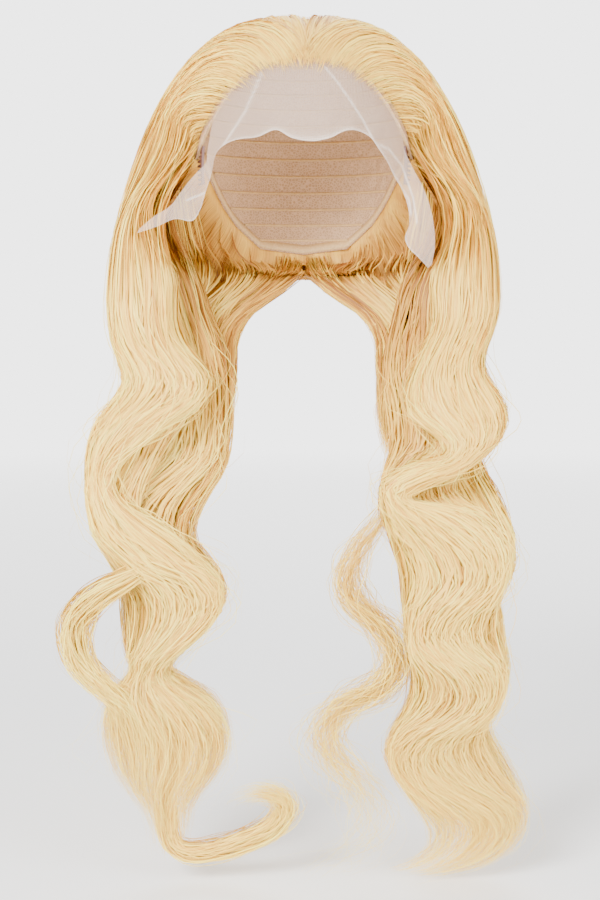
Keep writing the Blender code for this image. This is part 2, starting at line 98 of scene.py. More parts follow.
# %% [markdown]
# ## Camera
#
# The camera stands 1.25 m in front of the cap, a little above the middle of the hair, and looks slightly
# down. The same view gives a ruler: a point of the view and a depth from front to back make a place in
# space, and the long locks below are laid out that way.

# %% Set up the camera
EYE = np.array((-2.8, -1250.0, -178.0))
AIM = np.array((-2.8, 0.0, -290.0))
MM_PER_PIXEL = 0.7
FRAME_WIDTH, FRAME_HEIGHT = 600, 900
to_aim = AIM - EYE
eye_distance = np.linalg.norm(to_aim)
pixels_away = eye_distance / MM_PER_PIXEL
ahead = to_aim / eye_distance
view_up = np.array((0.0, -ahead[2], ahead[1]))

camera_data = bpy.data.cameras.new("camera")
camera_data.sensor_width = 36.0
camera_data.lens = 36.0 * pixels_away / FRAME_HEIGHT
camera = bpy.data.objects.new("camera", camera_data)
camera.location = EYE * MM
camera.rotation_euler = Vector(to_aim).to_track_quat("-Z", "Y").to_euler()
bpy.context.scene.collection.objects.link(camera)
bpy.context.scene.camera = camera


def at_pixel(pixel_x, pixel_y, depth):
    """Places in millimetres that the view shows at these pixels, at these depths from front to back."""
    pixel_x, pixel_y, depth = np.broadcast_arrays(pixel_x, pixel_y, depth)
    right = (pixel_x - FRAME_WIDTH / 2) / pixels_away
    rise = (FRAME_HEIGHT / 2 - pixel_y) / pixels_away
    ray = ahead + view_up * rise[..., None]
    ray[..., 0] += right
    return EYE + ray * ((depth - EYE[1]) / ray[..., 1])[..., None]


print("lens", round(camera_data.lens, 2), "mm")

# %% [markdown]
# ## Shader sums
#
# A pattern in a material is a sum of values. This small class lets such a sum be written as one, and
# each operator adds a Math node. One method, `node`, adds any other node.


# %% The class for shader sums
class Wire:
    """A value in a material's node tree."""

    def __init__(self, tree, socket=None):
        self.tree = tree
        self.socket = socket

    def node(self, kind, settings, inputs, output=0):
        """Any node: its settings are set first, and then the values or links of its inputs."""
        made = self.tree.nodes.new(kind)
        for name, value in settings.items():
            if name == "stops":
                ramp = made.color_ramp.elements
                while len(ramp) < len(value):
                    ramp.new(1.0)
                for stop, (place, colour) in zip(ramp, value):
                    stop.position = place
                    stop.color = (*colour, 1.0)
            else:
                setattr(made, name, value)
        for name, value in inputs.items():
            if isinstance(value, Wire):
                self.tree.links.new(value.socket, made.inputs[name])
            else:
                made.inputs[name].default_value = value
        return Wire(self.tree, made.outputs[output])

    def maths(self, operation, *others):
        values = dict(enumerate((self, *others)))
        return self.node("ShaderNodeMath", {"operation": operation}, values)

    def __add__(self, other):
        return self.maths("ADD", other)

    def __sub__(self, other):
        return self.maths("SUBTRACT", other)

    def __mul__(self, other):
        return self.maths("MULTIPLY", other)

    def __rsub__(self, other):
        return self.node("ShaderNodeMath", {"operation": "SUBTRACT"}, {0: other, 1: self})

    __radd__ = __add__


def new_material(name, roughness):
    """A material with one Principled shader, and the wire that its nodes hang on."""
    material = bpy.data.materials.new(name)
    material.use_nodes = True
    shader = material.node_tree.nodes["Principled BSDF"]
    shader.inputs["Roughness"].default_value = roughness
    shader.inputs["Metallic"].default_value = 0.0
    return material, shader, Wire(material.node_tree)


def feed(wire, shader, socket):
    """Links a value to one of a shader's sockets."""
    wire.tree.links.new(wire.socket, shader.inputs[socket])


def linear(red, green, blue):
    """A screen colour from 0 to 255 as the light that it stands for."""
    parts = [value / 255 for value in (red, green, blue)]
    return tuple(p / 12.92 if p <= 0.04045 else ((p + 0.055) / 1.055) ** 2.4 for p in parts)


print("shader class ready")

# %% [markdown]
# ## Floor and light
#
# A plain pale floor lies just under the lowest curl. Its material fades out with distance, so that no
# hard horizon runs behind the hair. The light is soft from all around, with two broad lamps in front and
# one behind, so that the waves get gentle highlights.

# %% Make the floor, the world and the lamps
FLOOR_Z = cad_low[2] - 0.002
bpy.ops.mesh.primitive_circle_add(vertices=96, radius=9.0, fill_type="NGON", location=(0, 0, FLOOR_Z))
floor = bpy.context.active_object
floor.name = "floor"
bpy.ops.object.transform_apply(location=True, rotation=True, scale=True)
floor_material, floor_shader, wire = new_material("pale_floor", 0.9)
floor_shader.inputs["Base Color"].default_value = (0.96, 0.96, 0.96, 1)
place = wire.node("ShaderNodeTexCoord", {}, {}, "Object")
far = wire.node("ShaderNodeVectorMath", {"operation": "LENGTH"}, {0: place}, "Value")
fade = wire.node("ShaderNodeMapRange", {}, {"Value": far, "From Min": 0.7, "From Max": 3.2})
clear = wire.node("ShaderNodeBsdfTransparent", {}, {})
solid = Wire(wire.tree, floor_shader.outputs[0])
mixed = wire.node("ShaderNodeMixShader", {}, {0: fade, 1: solid, 2: clear})
wire.tree.links.new(mixed.socket, wire.tree.nodes["Material Output"].inputs["Surface"])
floor.data.materials.append(floor_material)
floor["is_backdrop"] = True

world = bpy.data.worlds.new("studio")
world.use_nodes = True
studio_light = world.node_tree.nodes["Background"]
studio_light.inputs["Color"].default_value = (1, 1, 1, 1)
wire = Wire(world.node_tree)
seen = wire.node("ShaderNodeLightPath", {}, {}, "Is Camera Ray")
feed(1.0 + seen * 2.8, studio_light, "Strength")
bpy.context.scene.world = world


def add_lamp(name, place, aim, size, watts):
    data = bpy.data.lights.new(name, "AREA")
    data.size = size
    data.energy = watts
    lamp = bpy.data.objects.new(name, data)
    lamp.location = place
    lamp.rotation_euler = (Vector(aim) - Vector(place)).to_track_quat("-Z", "Y").to_euler()
    bpy.context.scene.collection.objects.link(lamp)


add_lamp("key_lamp", (-1.1, -1.9, 0.9), (0, 0, -0.2), 1.0, 140)
add_lamp("fill_lamp", (1.6, -1.5, 0.2), (0, 0, -0.3), 1.4, 55)
add_lamp("back_lamp", (0.3, 1.8, 1.0), (0, 0, -0.2), 1.4, 40)
print("floor at", round(FLOOR_Z, 3))

# %% [markdown]
# ## The head that the cap fits
#
# The cap is an ellipsoid with a rim that runs across the forehead, in front of the ears and round the
# nape. Directions from its centre are given as degrees down from the top and degrees round from the face.
# The hair's depth over the cap is measured along such a direction.

# %% Measure the cap and the hair on it
HEAD_HALF = np.array((75.0, 95.0, 95.0))
HEAD_CENTRE = np.array((0.0, 0.0, -95.0))
CAP_WALL = 1.2
# The height at which the hair on the cap ends and the locks below it start.
HAIR_BOTTOM = -165.0
RIM_AROUND = (0, 20, 38, 52, 64, 76, 88, 102, 118, 134, 150, 180)
RIM_DOWN = (36, 38, 50, 66, 79, 88, 86, 84, 93, 112, 124, 127)
# The hair's outside: its distance from the head's centre in front, at the side and behind.
SPREAD_DOWN = (0, 20, 40, 60, 75, 90, 105, 117, 125)
SPREAD_FRONT = (111, 109, 105, 104, 106, 110, 116, 128, 136)
SPREAD_SIDE = (111, 112, 112, 110, 112, 121, 137, 155, 164)
SPREAD_BACK = (111, 113, 114, 114, 114, 116, 122, 131, 138)
HAIR_AT_RIM = 3.7


def ease(value):
    """A soft step from 0 to 1."""
    value = np.clip(value, 0.0, 1.0)
    return value * value * (3 - 2 * value)


def way_out(down, around):
    """Directions from the head's centre, by degrees down from the top and round from the face."""
    down, around = np.radians(down), np.radians(around)
    return np.stack([np.sin(down) * np.sin(around), -np.sin(down) * np.cos(around), np.cos(down)], -1)


def angles_of(way):
    """Degrees down and round of directions from the head's centre."""
    way = way / np.linalg.norm(way, axis=-1, keepdims=True)
    down = np.degrees(np.arccos(np.clip(way[..., 2], -1, 1)))
    return down, np.degrees(np.arctan2(way[..., 0], -way[..., 1]))


def head_radius(down, around):
    """How far the cap's inside is from the head's centre."""
    return 1 / np.linalg.norm(way_out(down, around) / HEAD_HALF, axis=-1)


def cap_rim(around):
    """How many degrees down the cap's rim lies."""
    return np.interp(np.abs(around), RIM_AROUND, RIM_DOWN)


def hair_reach(down, around):
    """How far the outside of the hair stands from the head's centre. It is thin at the hairline."""
    around = np.abs(around)
    front, side, back = (np.interp(down, SPREAD_DOWN, x) for x in (SPREAD_FRONT, SPREAD_SIDE, SPREAD_BACK))
    ahead_part = front + (side - front) * ease(around / 90)
    full = np.where(around < 90, ahead_part, side + (back - side) * ease((around - 90) / 90))
    hairline = np.interp(down, RIM_DOWN[:6], RIM_AROUND[:6])
    hairline = np.where(down > 88, 76 - 3.0 * (down - 88), hairline)
    behind = np.maximum(cap_rim(around) - down, around - hairline)
    thin = head_radius(down, around) + CAP_WALL + HAIR_AT_RIM
    return thin + (full - thin) * ease(behind / (12 + 22 * ease((84 - down) / 40)))


print("hair over the crown", float(hair_reach(0.0, 0.0)), "mm from the centre")

# %% [markdown]
# ## The locks as ladders
#
# Each fall of hair is a ladder. A rung joins the edge by the neck to the outer edge as the view shows
# them, with a depth and a thickness, and the lock is an oval round each rung. The same ladders shaped the
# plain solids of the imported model.

# %% The ladders of both sides
# Each row: inner x, inner y, outer x, outer y in pixels, then depth and thickness in millimetres.
LADDERS = {
    "left_front_lock": [
        (424, 272, 501, 272, -14, 52), (429, 300, 501, 300, -18, 50), (428, 325, 496, 325, -26, 46),
        (418, 350, 487, 350, -36, 42), (408, 372, 486, 368, -44, 40), (402, 392, 495, 384, -50, 38),
        (403, 410, 505, 400, -56, 36), (418, 424, 508, 416, -62, 34), (436, 436, 503, 434, -66, 32),
        (444, 447, 489, 450, -70, 30), (438, 456, 464, 470, -76, 28), (415, 461, 430, 485, -82, 26),
        (398, 466, 402, 497, -86, 22), (383, 475, 387, 500, -86, 14),
    ],
    "left_inner_lock": [
        (400, 272, 486, 272, 38, 44), (392, 310, 488, 310, 25, 38), (384, 345, 478, 345, 10, 36),
        (381, 375, 480, 375, -6, 34), (384, 400, 494, 400, -18, 34), (388, 425, 495, 425, -27, 32),
        (388, 448, 482, 448, -35, 30), (384, 470, 490, 466, -44, 30), (380, 494, 504, 488, -52, 38),
        (381, 515, 513, 512, -60, 58), (384, 535, 515, 540, -63, 62), (390, 557, 512, 564, -65, 62),
        (394, 578, 503, 586, -66, 60), (399, 597, 498, 598, -66, 56), (403, 615, 505, 613, -66, 56),
        (405, 638, 509, 635, -66, 60), (405, 662, 508, 662, -66, 60), (404, 685, 504, 687, -66, 56),
        (400, 705, 495, 708, -66, 52), (393, 724, 489, 722, -66, 42), (387, 742, 502, 740, -66, 52),
        (390, 762, 514, 758, -66, 54), (400, 780, 521, 776, -66, 54), (412, 800, 525, 796, -66, 42),
        (424, 820, 524, 816, -66, 36), (428, 838, 517, 836, -66, 30), (418, 854, 500, 853, -66, 24),
        (398, 865, 470, 866, -66, 16), (380, 868, 425, 874, -66, 9),
    ],
    "left_neck_lock": [
        (307, 272, 424, 272, 90, 42), (328, 290, 446, 290, 79, 40), (358, 312, 458, 312, 66, 37),
        (374, 336, 462, 336, 51, 34), (376, 362, 456, 362, 36, 32), (377, 385, 445, 390, 24, 30),
        (379, 415, 438, 415, 8, 26), (384, 445, 430, 445, -7, 20), (390, 470, 422, 470, -18, 12),
    ],
    "right_front_lock": [
        (182, 272, 107, 272, -14, 52), (178, 295, 105, 295, -17, 50), (178, 318, 107, 318, -24, 46),
        (186, 342, 110, 342, -34, 42), (203, 362, 117, 362, -44, 38), (214, 380, 121, 381, -52, 36),
        (207, 401, 111, 399, -58, 34), (181, 418, 98, 416, -64, 32), (150, 440, 89, 438, -68, 30),
        (125, 460, 87, 462, -71, 26), (106, 482, 88, 486, -74, 20), (97, 505, 90, 510, -74, 12),
        (95, 530, 91, 533, -72, 8), (94, 550, 91, 552, -70, 6),
    ],
    "right_inner_lock": [
        (203, 272, 120, 272, 38, 44), (212, 310, 120, 310, 25, 38), (228, 345, 122, 350, 10, 36),
        (234, 375, 125, 385, -8, 34), (234, 400, 128, 415, -20, 34), (233, 425, 125, 440, -29, 34),
        (231, 450, 112, 462, -37, 36), (228, 472, 103, 484, -46, 42), (217, 494, 99, 508, -54, 50),
        (205, 516, 99, 533, -60, 62), (199, 538, 110, 555, -64, 62), (208, 553, 117, 575, -66, 62),
        (222, 576, 116, 597, -66, 64), (225, 599, 116, 618, -66, 64), (213, 620, 121, 640, -66, 60),
        (191, 641, 129, 656, -66, 54), (170, 661, 134, 668, -66, 40), (178, 676, 123, 682, -66, 42),
        (207, 690, 107, 700, -66, 56), (226, 712, 102, 722, -66, 60), (231, 735, 104, 745, -66, 60),
        (225, 760, 112, 765, -66, 56), (209, 782, 126, 785, -66, 42), (194, 802, 140, 803, -66, 34),
        (190, 822, 149, 823, -66, 28), (186, 842, 153, 843, -66, 22), (178, 860, 158, 861, -66, 14),
    ],
    "right_neck_lock": [
        (301, 272, 184, 272, 90, 42), (280, 290, 163, 290, 79, 40), (252, 312, 151, 312, 66, 37),
        (238, 336, 150, 336, 51, 34), (236, 362, 158, 362, 36, 32), (235, 385, 165, 390, 22, 28),
        (230, 415, 170, 415, 6, 24), (220, 445, 175, 445, -8, 14), (205, 470, 180, 470, -15, 8),
    ],
}
# The front lock doesn't end where it curls round: its strands sweep on down over the inner lock. Each
# sweep is the first rungs of the front lock, as many as the number here, some rungs through the turn, and
# the inner lock's rungs from INNER_FROM on.
TURNS = {
    "left": (12, [
        (384, 478, 405, 499, -84, 24), (380, 497, 428, 503, -80, 32), (382, 514, 472, 508, -76, 44),
        (385, 535, 500, 534, -70, 54), (390, 557, 507, 562, -66, 60),
    ]),
    "right": (10, [
        (116, 482, 87, 484, -74, 24), (130, 502, 88, 507, -76, 30), (160, 520, 91, 531, -74, 42),
        (188, 539, 103, 552, -70, 54), (206, 556, 115, 573, -67, 60),
    ]),
}
INNER_FROM = 12
for label, (kept, turn_rows) in TURNS.items():
    first, last = LADDERS[f"{label}_front_lock"][:kept], LADDERS[f"{label}_inner_lock"][INNER_FROM:]
    LADDERS[f"{label}_sweep"] = first + turn_rows + last

# Inside a lock's outline the strands swing from side to side. A sway is a share of the half width, from
# the middle towards the outer edge, at each of the last rungs of a ladder.
SWAYS = {
    "left_inner_lock": (-0.6, -0.6, -0.4, 0.15, 0.4, 0.38, 0.05, -0.35, -0.5, 0.2, 0.5, 0.4, -0.15, -0.6,
                        -0.65, -0.5, -0.05, 0.2, 0.2, 0.1, 0, 0),
    "left_sweep": (0, 0, 0.2, 0.35, 0.4, 0.05, -0.35, -0.5, 0.2, 0.5, 0.4, -0.15, -0.6, -0.65, -0.5, -0.05,
                   0.2, 0.2, 0.1, 0, 0),
    "right_inner_lock": (0.3, 0.6, 0.6, 0.35, -0.05, -0.5, -0.55, -0.35, 0.05, 0.2, 0.2, 0, -0.1, -0.15,
                         -0.1, 0, 0, 0, 0, 0),
    "right_sweep": (0, 0, -0.1, -0.25, -0.5, -0.55, -0.35, 0.05, 0.2, 0.2, 0, -0.1, -0.15, -0.1, 0, 0, 0,
                    0, 0),
}
print("rungs:", {name: len(rows) for name, rows in LADDERS.items()})

# %% [markdown]
# ## The thin locks as paths
#
# A thin lock is simpler to give as a path with a width, and its ladder follows from that. Its path starts
# inside the fall that it leaves.

# %% The paths of the thin locks
# Each row: x, y in pixels, width in pixels, depth and thickness in millimetres.
THIN_PATHS = {
    "left_thin_lock": [
        (446, 462, 8, -76, 8), (412, 484, 10, -80, 8), (392, 503, 12, -74, 10), (377, 522, 12, -66, 12),
        (359, 545, 15, -64, 14), (348, 570, 16, -66, 14), (350, 592, 16, -66, 14),
        (364, 611, 15, -66, 14), (382, 628, 14, -66, 14), (394, 649, 14, -66, 14), (393, 671, 14, -66, 14),
        (374, 690, 14, -66, 14), (346, 703, 14, -66, 14), (330, 721, 14, -66, 14), (325, 741, 14, -66, 14),
        (334, 760, 14, -66, 14), (349, 777, 14, -66, 13), (362, 796, 13, -66, 12), (369, 815, 12, -66, 11),
        (367, 835, 11, -66, 10), (356, 851, 10, -66, 9), (338, 862, 9, -66, 8), (316, 867, 8, -66, 7),
        (295, 861, 5, -66, 5),
    ],
    "right_outer_lock": [
        (196, 540, 10, -64, 6), (172, 553, 14, -74, 6), (146, 567, 18, -86, 8), (125, 578, 26, -94, 10),
        (103, 590, 30, -93, 15), (87, 604, 33, -84, 20),
        (77, 620, 34, -76, 22), (75, 638, 34, -72, 22), (79, 656, 33, -70, 22), (90, 672, 30, -70, 18),
        (105, 686, 26, -80, 14), (122, 701, 24, -88, 10), (140, 720, 22, -84, 9), (156, 745, 18, -76, 8),
    ],
    "right_end_curl": [
        (166, 760, 30, -66, 14), (166, 800, 26, -66, 14), (172, 836, 20, -68, 14), (188, 849, 18, -70, 13),
        (213, 847, 18, -68, 14), (245, 838, 20, -70, 13), (270, 826, 20, -72, 12), (284, 809, 18, -74, 11),
        (280, 796, 17, -76, 10), (263, 790, 15, -76, 9), (246, 795, 12, -74, 7), (234, 806, 8, -72, 5),
    ],
}
print("path points:", {name: len(rows) for name, rows in THIN_PATHS.items()})

# %% [markdown]
# ## Reading a ladder
#
# A smooth curve through the rungs gives the body waves, and a table of distances along it lets every strand
# be laid out in even steps. The oval round a rung is read by a turn, from the outer edge over the back to
# the inner edge, and by a size.


# %% The class that reads a ladder
def curve_through(rows, at):
    """A smooth curve through rows of numbers, read at fractional row numbers."""
    last = len(rows) - 1
    first = np.clip(np.floor(at).astype(int), 0, last - 1)
    part = (at - first)[..., None]
    before, here = rows[np.maximum(first - 1, 0)], rows[first]
    there, after = rows[first + 1], rows[np.minimum(first + 2, last)]
    bend = 2 * before - 5 * here + 4 * there - after
    sharp = 3 * here - before - 3 * there + after
    return 0.5 * (2 * here + (there - before) * part + bend * part**2 + sharp * part**3)


# Where strands swing far aside they also lie deeper: by this many millimetres for a half width of sway,
# counted from a sway that makes no difference.
WAVE_DEPTH = 22.0
PLAIN_SWAY = 0.2
# The oval's power is below 1, which makes it squarer than an ellipse. No strand goes far past its edge.
OVAL_POWER = 0.8
EDGE_LIMIT = 1.08


class Ladder:
    """A lock's rungs in millimetres: inner edge, outer edge and thickness, read along its length."""

    def __init__(self, inner, outer, thick, sway=()):
        sway = np.pad(np.array(sway, float), (len(thick) - len(sway), 0))
        self.rows = np.hstack([inner, outer, thick[:, None], sway[:, None]])
        fine = np.linspace(0, len(thick) - 1, 60 * len(thick))
        path = curve_through(self.rows, fine)
        middle = (path[:, :3] + path[:, 3:6]) / 2
        steps = np.linalg.norm(np.diff(middle, axis=0), axis=1)
        self.fine, self.along = fine, np.concatenate([[0], np.cumsum(steps)])
        self.length = self.along[-1]

    def oval(self, along, turn, size, swing):
        """Places and outward directions at a distance along, a turn round the oval and a size.

        swing is how much of the lock's sway a strand takes part in.
        """
        row = curve_through(self.rows, np.interp(along, self.along, self.fine))
        inner, outer, half_thick = row[..., :3], row[..., 3:6], row[..., 6] / 2
        middle, half = (inner + outer) / 2, (outer - inner) / 2
        cos, sin = np.cos(turn), np.sin(turn)
        aside = np.sign(cos) * np.abs(cos) ** OVAL_POWER * size
        sway = row[..., 7] * swing
        aside = sway + (1 - 0.5 * np.abs(sway)) * aside
        aside = aside / (1 + (np.abs(aside) / EDGE_LIMIT) ** 8) ** 0.125
        through = np.sign(sin) * np.abs(sin) ** OVAL_POWER * size * half_thick
        place = middle + half * aside[..., None]
        place[..., 1] += through + WAVE_DEPTH * (np.abs(sway) - PLAIN_SWAY)
        width = np.linalg.norm(half, axis=-1)
        out = half * (cos / width**2)[..., None]
        out[..., 1] += sin / half_thick
        return place, out / np.linalg.norm(out, axis=-1, keepdims=True)


print("waves go", WAVE_DEPTH, "mm deeper for a half width of sway")

# %% [markdown]
# ## All the ladders
#
# Two more ladders on each side fill the room between the locks: one beside the inner lock, halfway to the
# sweep, and one behind it, which starts halfway to the lock by the neck and merges into the inner lock.

# %% Make the ladders
ladders = {}
for name, rows in LADDERS.items():
    x0, y0, x1, y1, depth, thick = np.array(rows, float).T
    inner, outer = at_pixel(x0, y0, depth), at_pixel(x1, y1, depth)
    inner[0, 2] = outer[0, 2] = HAIR_BOTTOM
    ladders[name] = Ladder(inner, outer, thick, SWAYS.get(name, ()))
for name, rows in THIN_PATHS.items():
    x, y, width, depth, thick = np.array(rows, float).T
    along = np.stack([np.gradient(x), np.gradient(y)], -1)
    along /= np.linalg.norm(along, axis=1, keepdims=True)
    half_x, half_y = along[:, 1] * width / 2, along[:, 0] * width / 2
    inner, outer = at_pixel(x - half_x, y + half_y, depth), at_pixel(x + half_x, y - half_y, depth)
    ladders[name] = Ladder(inner, outer, thick)


def between(first, second, shares):
    """A ladder between two others, at the second one's heights. Shares run from 0, the first, to 1."""
    depths = [-(ladder.rows[:, 2] + ladder.rows[:, 5]) / 2 for ladder in (first, second)]
    match = np.stack([np.interp(depths[1], depths[0], column) for column in first.rows.T], -1)
    rows = match + (second.rows - match) * shares[:, None]
    return Ladder(rows[:, :3], rows[:, 3:6], rows[:, 6], rows[:, 7])


for label in ("left", "right"):
    sweep, inner, neck = (ladders[f"{label}_{part}"] for part in ("sweep", "inner_lock", "neck_lock"))
    ladders[f"{label}_beside"] = between(sweep, inner, np.full(len(inner.rows), 0.5))
    merging = np.interp(np.arange(len(inner.rows)), (0, 7), (0.5, 1))
    ladders[f"{label}_behind"] = between(neck, inner, merging)
print({name: round(ladder.length) for name, ladder in ladders.items()})

# %% [markdown]
# ## Hair finish
#
# Bleached hair is pale and glossy. Where it lies deep in a fall its tone is lowered to a warmer gold, as
# painted shade. Each strand carries its own tone, as an attribute of its mesh, and a map that runs across
# and along it in metres. Noise that is stretched far along that map splits each ribbon into still finer
# hairs, in its colour and as a fine bump.

# %% The hair material
hair_material, hair_shader, wire = new_material("pale_blonde_hair", 0.45)
tone = wire.node("ShaderNodeAttribute", {"attribute_name": "tone"}, {}, "Fac")
hair_map = wire.node("ShaderNodeUVMap", {"uv_map": "UVMap"}, {})
HAIRS_PER_METRE = (2400.0, 12.0, 0.0)
stretched = wire.node("ShaderNodeVectorMath", {"operation": "MULTIPLY"}, {0: hair_map, 1: HAIRS_PER_METRE})
fine_hairs = wire.node(
    "ShaderNodeTexNoise",
    {"noise_dimensions": "2D"},
    {"Vector": stretched, "Scale": 1.0, "Detail": 2.0},
    "Fac",
)
strand_colour = wire.node(
    "ShaderNodeValToRGB",
    {
        "stops": [
            (0.0, linear(146, 84, 24)),
            (0.3, linear(224, 164, 66)),
            (0.6, linear(255, 209, 85)),
            (1.0, linear(255, 233, 110)),
        ]
    },
    {"Fac": tone + fine_hairs * 0.7 - 0.35},
)
feed(strand_colour, hair_shader, "Base Color")
feed(0.52 - tone * 0.12, hair_shader, "Roughness")
hair_shader.inputs["Specular IOR Level"].default_value = 0.3
bump = wire.node(
    "ShaderNodeBump", {}, {"Height": fine_hairs, "Strength": 0.35, "Distance": 0.0004}, "Normal"
)
feed(bump, hair_shader, "Normal")
print("hair nodes", len(wire.tree.nodes))

# %% [markdown]
# ## Pieces from numbers
#
# Strands can't be drawn by extruding and bevelling: there are thousands, and each follows its own curve.
# So their points are worked out in tables of numbers, and one helper turns a table into a mesh.


# %% Helpers that make a mesh piece
def add_piece(name, points, faces, material, attributes=(), uv=None):
    """A mesh piece from points in millimetres and faces of equal corner count."""
    mesh = bpy.data.meshes.new(name)
    mesh.vertices.add(len(points))
    mesh.vertices.foreach_set("co", (np.asarray(points, float) * MM).astype(np.float32).ravel())
    mesh.loops.add(faces.size)
    mesh.loops.foreach_set("vertex_index", faces.astype(np.int32).ravel())
    mesh.polygons.add(len(faces))
    mesh.polygons.foreach_set("loop_start", np.arange(0, faces.size, faces.shape[1], dtype=np.int32))
    for label, values in attributes:
        layer = mesh.attributes.new(label, "FLOAT", "POINT")
        layer.data.foreach_set("value", np.asarray(values, np.float32).ravel())
    if uv is not None:
        layer = mesh.uv_layers.new(name="UVMap")
        layer.uv.foreach_set("vector", np.asarray(uv, np.float32)[faces.ravel()].ravel())
    mesh.update(calc_edges=True)
    mesh.validate()
    mesh.shade_smooth()
    mesh.materials.append(material)
    piece = bpy.data.objects.new(name, mesh)
    bpy.context.scene.collection.objects.link(piece)
    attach(piece, "root")
    return piece


def grid_faces(rows, columns, closed=False):
    """Quads between neighbours of a grid of points, row after row."""
    across = np.arange(columns if closed else columns - 1)
    row = np.arange(rows - 1)[:, None]
    a = row * columns + across
    b = row * columns + (across + 1) % columns
    return np.stack([a, b, b + columns, a + columns], -1).reshape(-1, 4)


print("helper for a mesh piece ready")

# %% [markdown]
# ## Ribbons
#
# A strand is a ribbon with two points at each step. It lies flat on the lock, turned about itself by a
# little roll. Many strands are handled at once, in tables of strands by points.


# %% Helpers for strands
def softened(path, times):
    """Evens out kinks in paths, keeping their ends."""
    for _ in range(times):
        path = path.copy()
        path[:, 1:-1] = (path[:, :-2] + 2 * path[:, 1:-1] + path[:, 2:]) / 4
    return path


def lengths_along(path):
    """How far each point of each path is from the path's start."""
    steps = np.linalg.norm(np.diff(path, axis=1), axis=2)
    return np.concatenate([np.zeros((len(path), 1)), np.cumsum(steps, 1)], 1)


class Strands:
    """Collects ribbons for one piece. Each ribbon has its own place on the map."""

    def __init__(self):
        self.points, self.faces, self.tone, self.map = [], [], [], []
        self.count = self.strands = 0

    def add(self, path, out, width, roll, tone):
        """path and out are strands x points x 3. width is in mm, roll turns a ribbon about itself."""
        strands, steps = path.shape[:2]
        ahead_of = np.gradient(path, axis=1)
        ahead_of /= np.linalg.norm(ahead_of, axis=2, keepdims=True) + 1e-9
        aside = np.cross(ahead_of, out)
        aside /= np.linalg.norm(aside, axis=2, keepdims=True) + 1e-9
        facing = np.cross(aside, ahead_of)
        turned = aside * np.cos(roll)[:, None, None] + facing * np.sin(roll)[:, None, None]
        half = turned * (width / 2)[..., None]
        self.points.append(np.stack([path - half, path + half], 2).reshape(-1, 3))
        start = np.arange(strands)[:, None] * steps * 2
        step = np.arange(steps - 1) * 2
        a = self.count + start + step
        self.faces.append(np.stack([a, a + 1, a + 3, a + 2], -1).reshape(-1, 4))
        self.tone.append(np.repeat(np.broadcast_to(tone, (strands, steps)).ravel(), 2))
        own_place = (self.strands + np.arange(strands))[:, None] * 7.3 % 400
        map_u = np.stack([own_place - width / 2, own_place + width / 2], 2)
        map_v = np.stack([lengths_along(path)] * 2, 2) + own_place[..., None]
        self.map.append(np.stack([map_u, map_v], -1).reshape(-1, 2) * MM)
        self.count += 2 * strands * steps
        self.strands += strands

    def finish(self, name):
        points, faces, tone, uv = (np.concatenate(x) for x in (self.points, self.faces, self.tone, self.map))
        piece = add_piece(name, points, faces, hair_material, [("tone", tone)], uv)
        print(name, "strands", self.strands, "triangles", 2 * len(piece.data.polygons))
        return piece


def drift(chance, strands, at, lengths, size):
    """A slow wander for each strand, as a sum of long waves with chance phases."""
    total = np.zeros((strands, at.shape[-1]))
    for length in lengths:
        phase = chance.uniform(0, 2 * np.pi, (strands, 1))
        total += np.sin(2 * np.pi * at / length + phase) * chance.uniform(0.4, 1.0, (strands, 1))
    return total * size / len(lengths)


print("helpers for strands ready")

# %% [markdown]
# ## From the root to the lock
#
# Every long strand starts at its root on the cap and runs back over the cap to its lock. There its path is
# a Bezier curve that leaves the root along the head and arrives from above, pushed out to the hair's depth.
# What would still cut through the cap's wall is pushed out of it.


# %% Paths over the cap
def start_on_head(down, around):
    return HEAD_CENTRE + way_out(down, around) * head_radius(down, around)[..., None]


def over_the_cap(start, leave, arrive, end, lift, steps):
    """Paths over the cap, and their outward directions. lift is each path's depth share at its start."""
    part = np.linspace(0, 1, steps)[None, :, None]
    first, second = start + leave, end + arrive
    bend = (
        start[:, None] * (1 - part) ** 3
        + 3 * first[:, None] * part * (1 - part) ** 2
        + 3 * second[:, None] * part**2 * (1 - part)
        + end[:, None] * part**3
    )
    way = bend - HEAD_CENTRE
    way /= np.linalg.norm(way, axis=2, keepdims=True)
    down, around = angles_of(way)
    floor_of = head_radius(down, around) + CAP_WALL + 0.8
    room = np.maximum(hair_reach(down, around) - floor_of, 0.5)
    end_share = (np.linalg.norm(end - HEAD_CENTRE, axis=1) - floor_of[:, -1]) / room[:, -1]
    fade_in = ease(part[..., 0] / 0.3)
    fade_out = ease((part[..., 0] - 0.45) / 0.55)
    middle_share = np.clip(0.15 + 1.15 * end_share, 0.25, 1.0)[:, None]
    share = lift[:, None] + (middle_share - lift[:, None]) * fade_in
    share = share + (end_share[:, None] - share) * fade_out
    return HEAD_CENTRE + way * (floor_of + room * share)[..., None], way


def clear_of_head(path):
    """Pushes points out that came inside the cap's wall."""
    away = path - HEAD_CENTRE
    far = np.linalg.norm(away, axis=2)
    nearest = head_radius(*angles_of(away)) + CAP_WALL + 0.6
    return HEAD_CENTRE + away * (np.maximum(far, nearest) / far)[..., None]


print("the rim lies", float(cap_rim(0.0)), "degrees down in front and", float(cap_rim(180.0)), "behind")

# %% [markdown]
# ## Strands in clumps
#
# Where a strand reaches its lock it takes its own place on the oval. Strands lie in clumps, because real
# hair does: a clump shares its turn round the oval and wanders slowly, and each strand strays a little from
# it. Towards the tips the strands get thinner, end at different lengths and fray.
#
# How a family of strands looks is a small table. A family's own table names only what differs from the
# plain one.

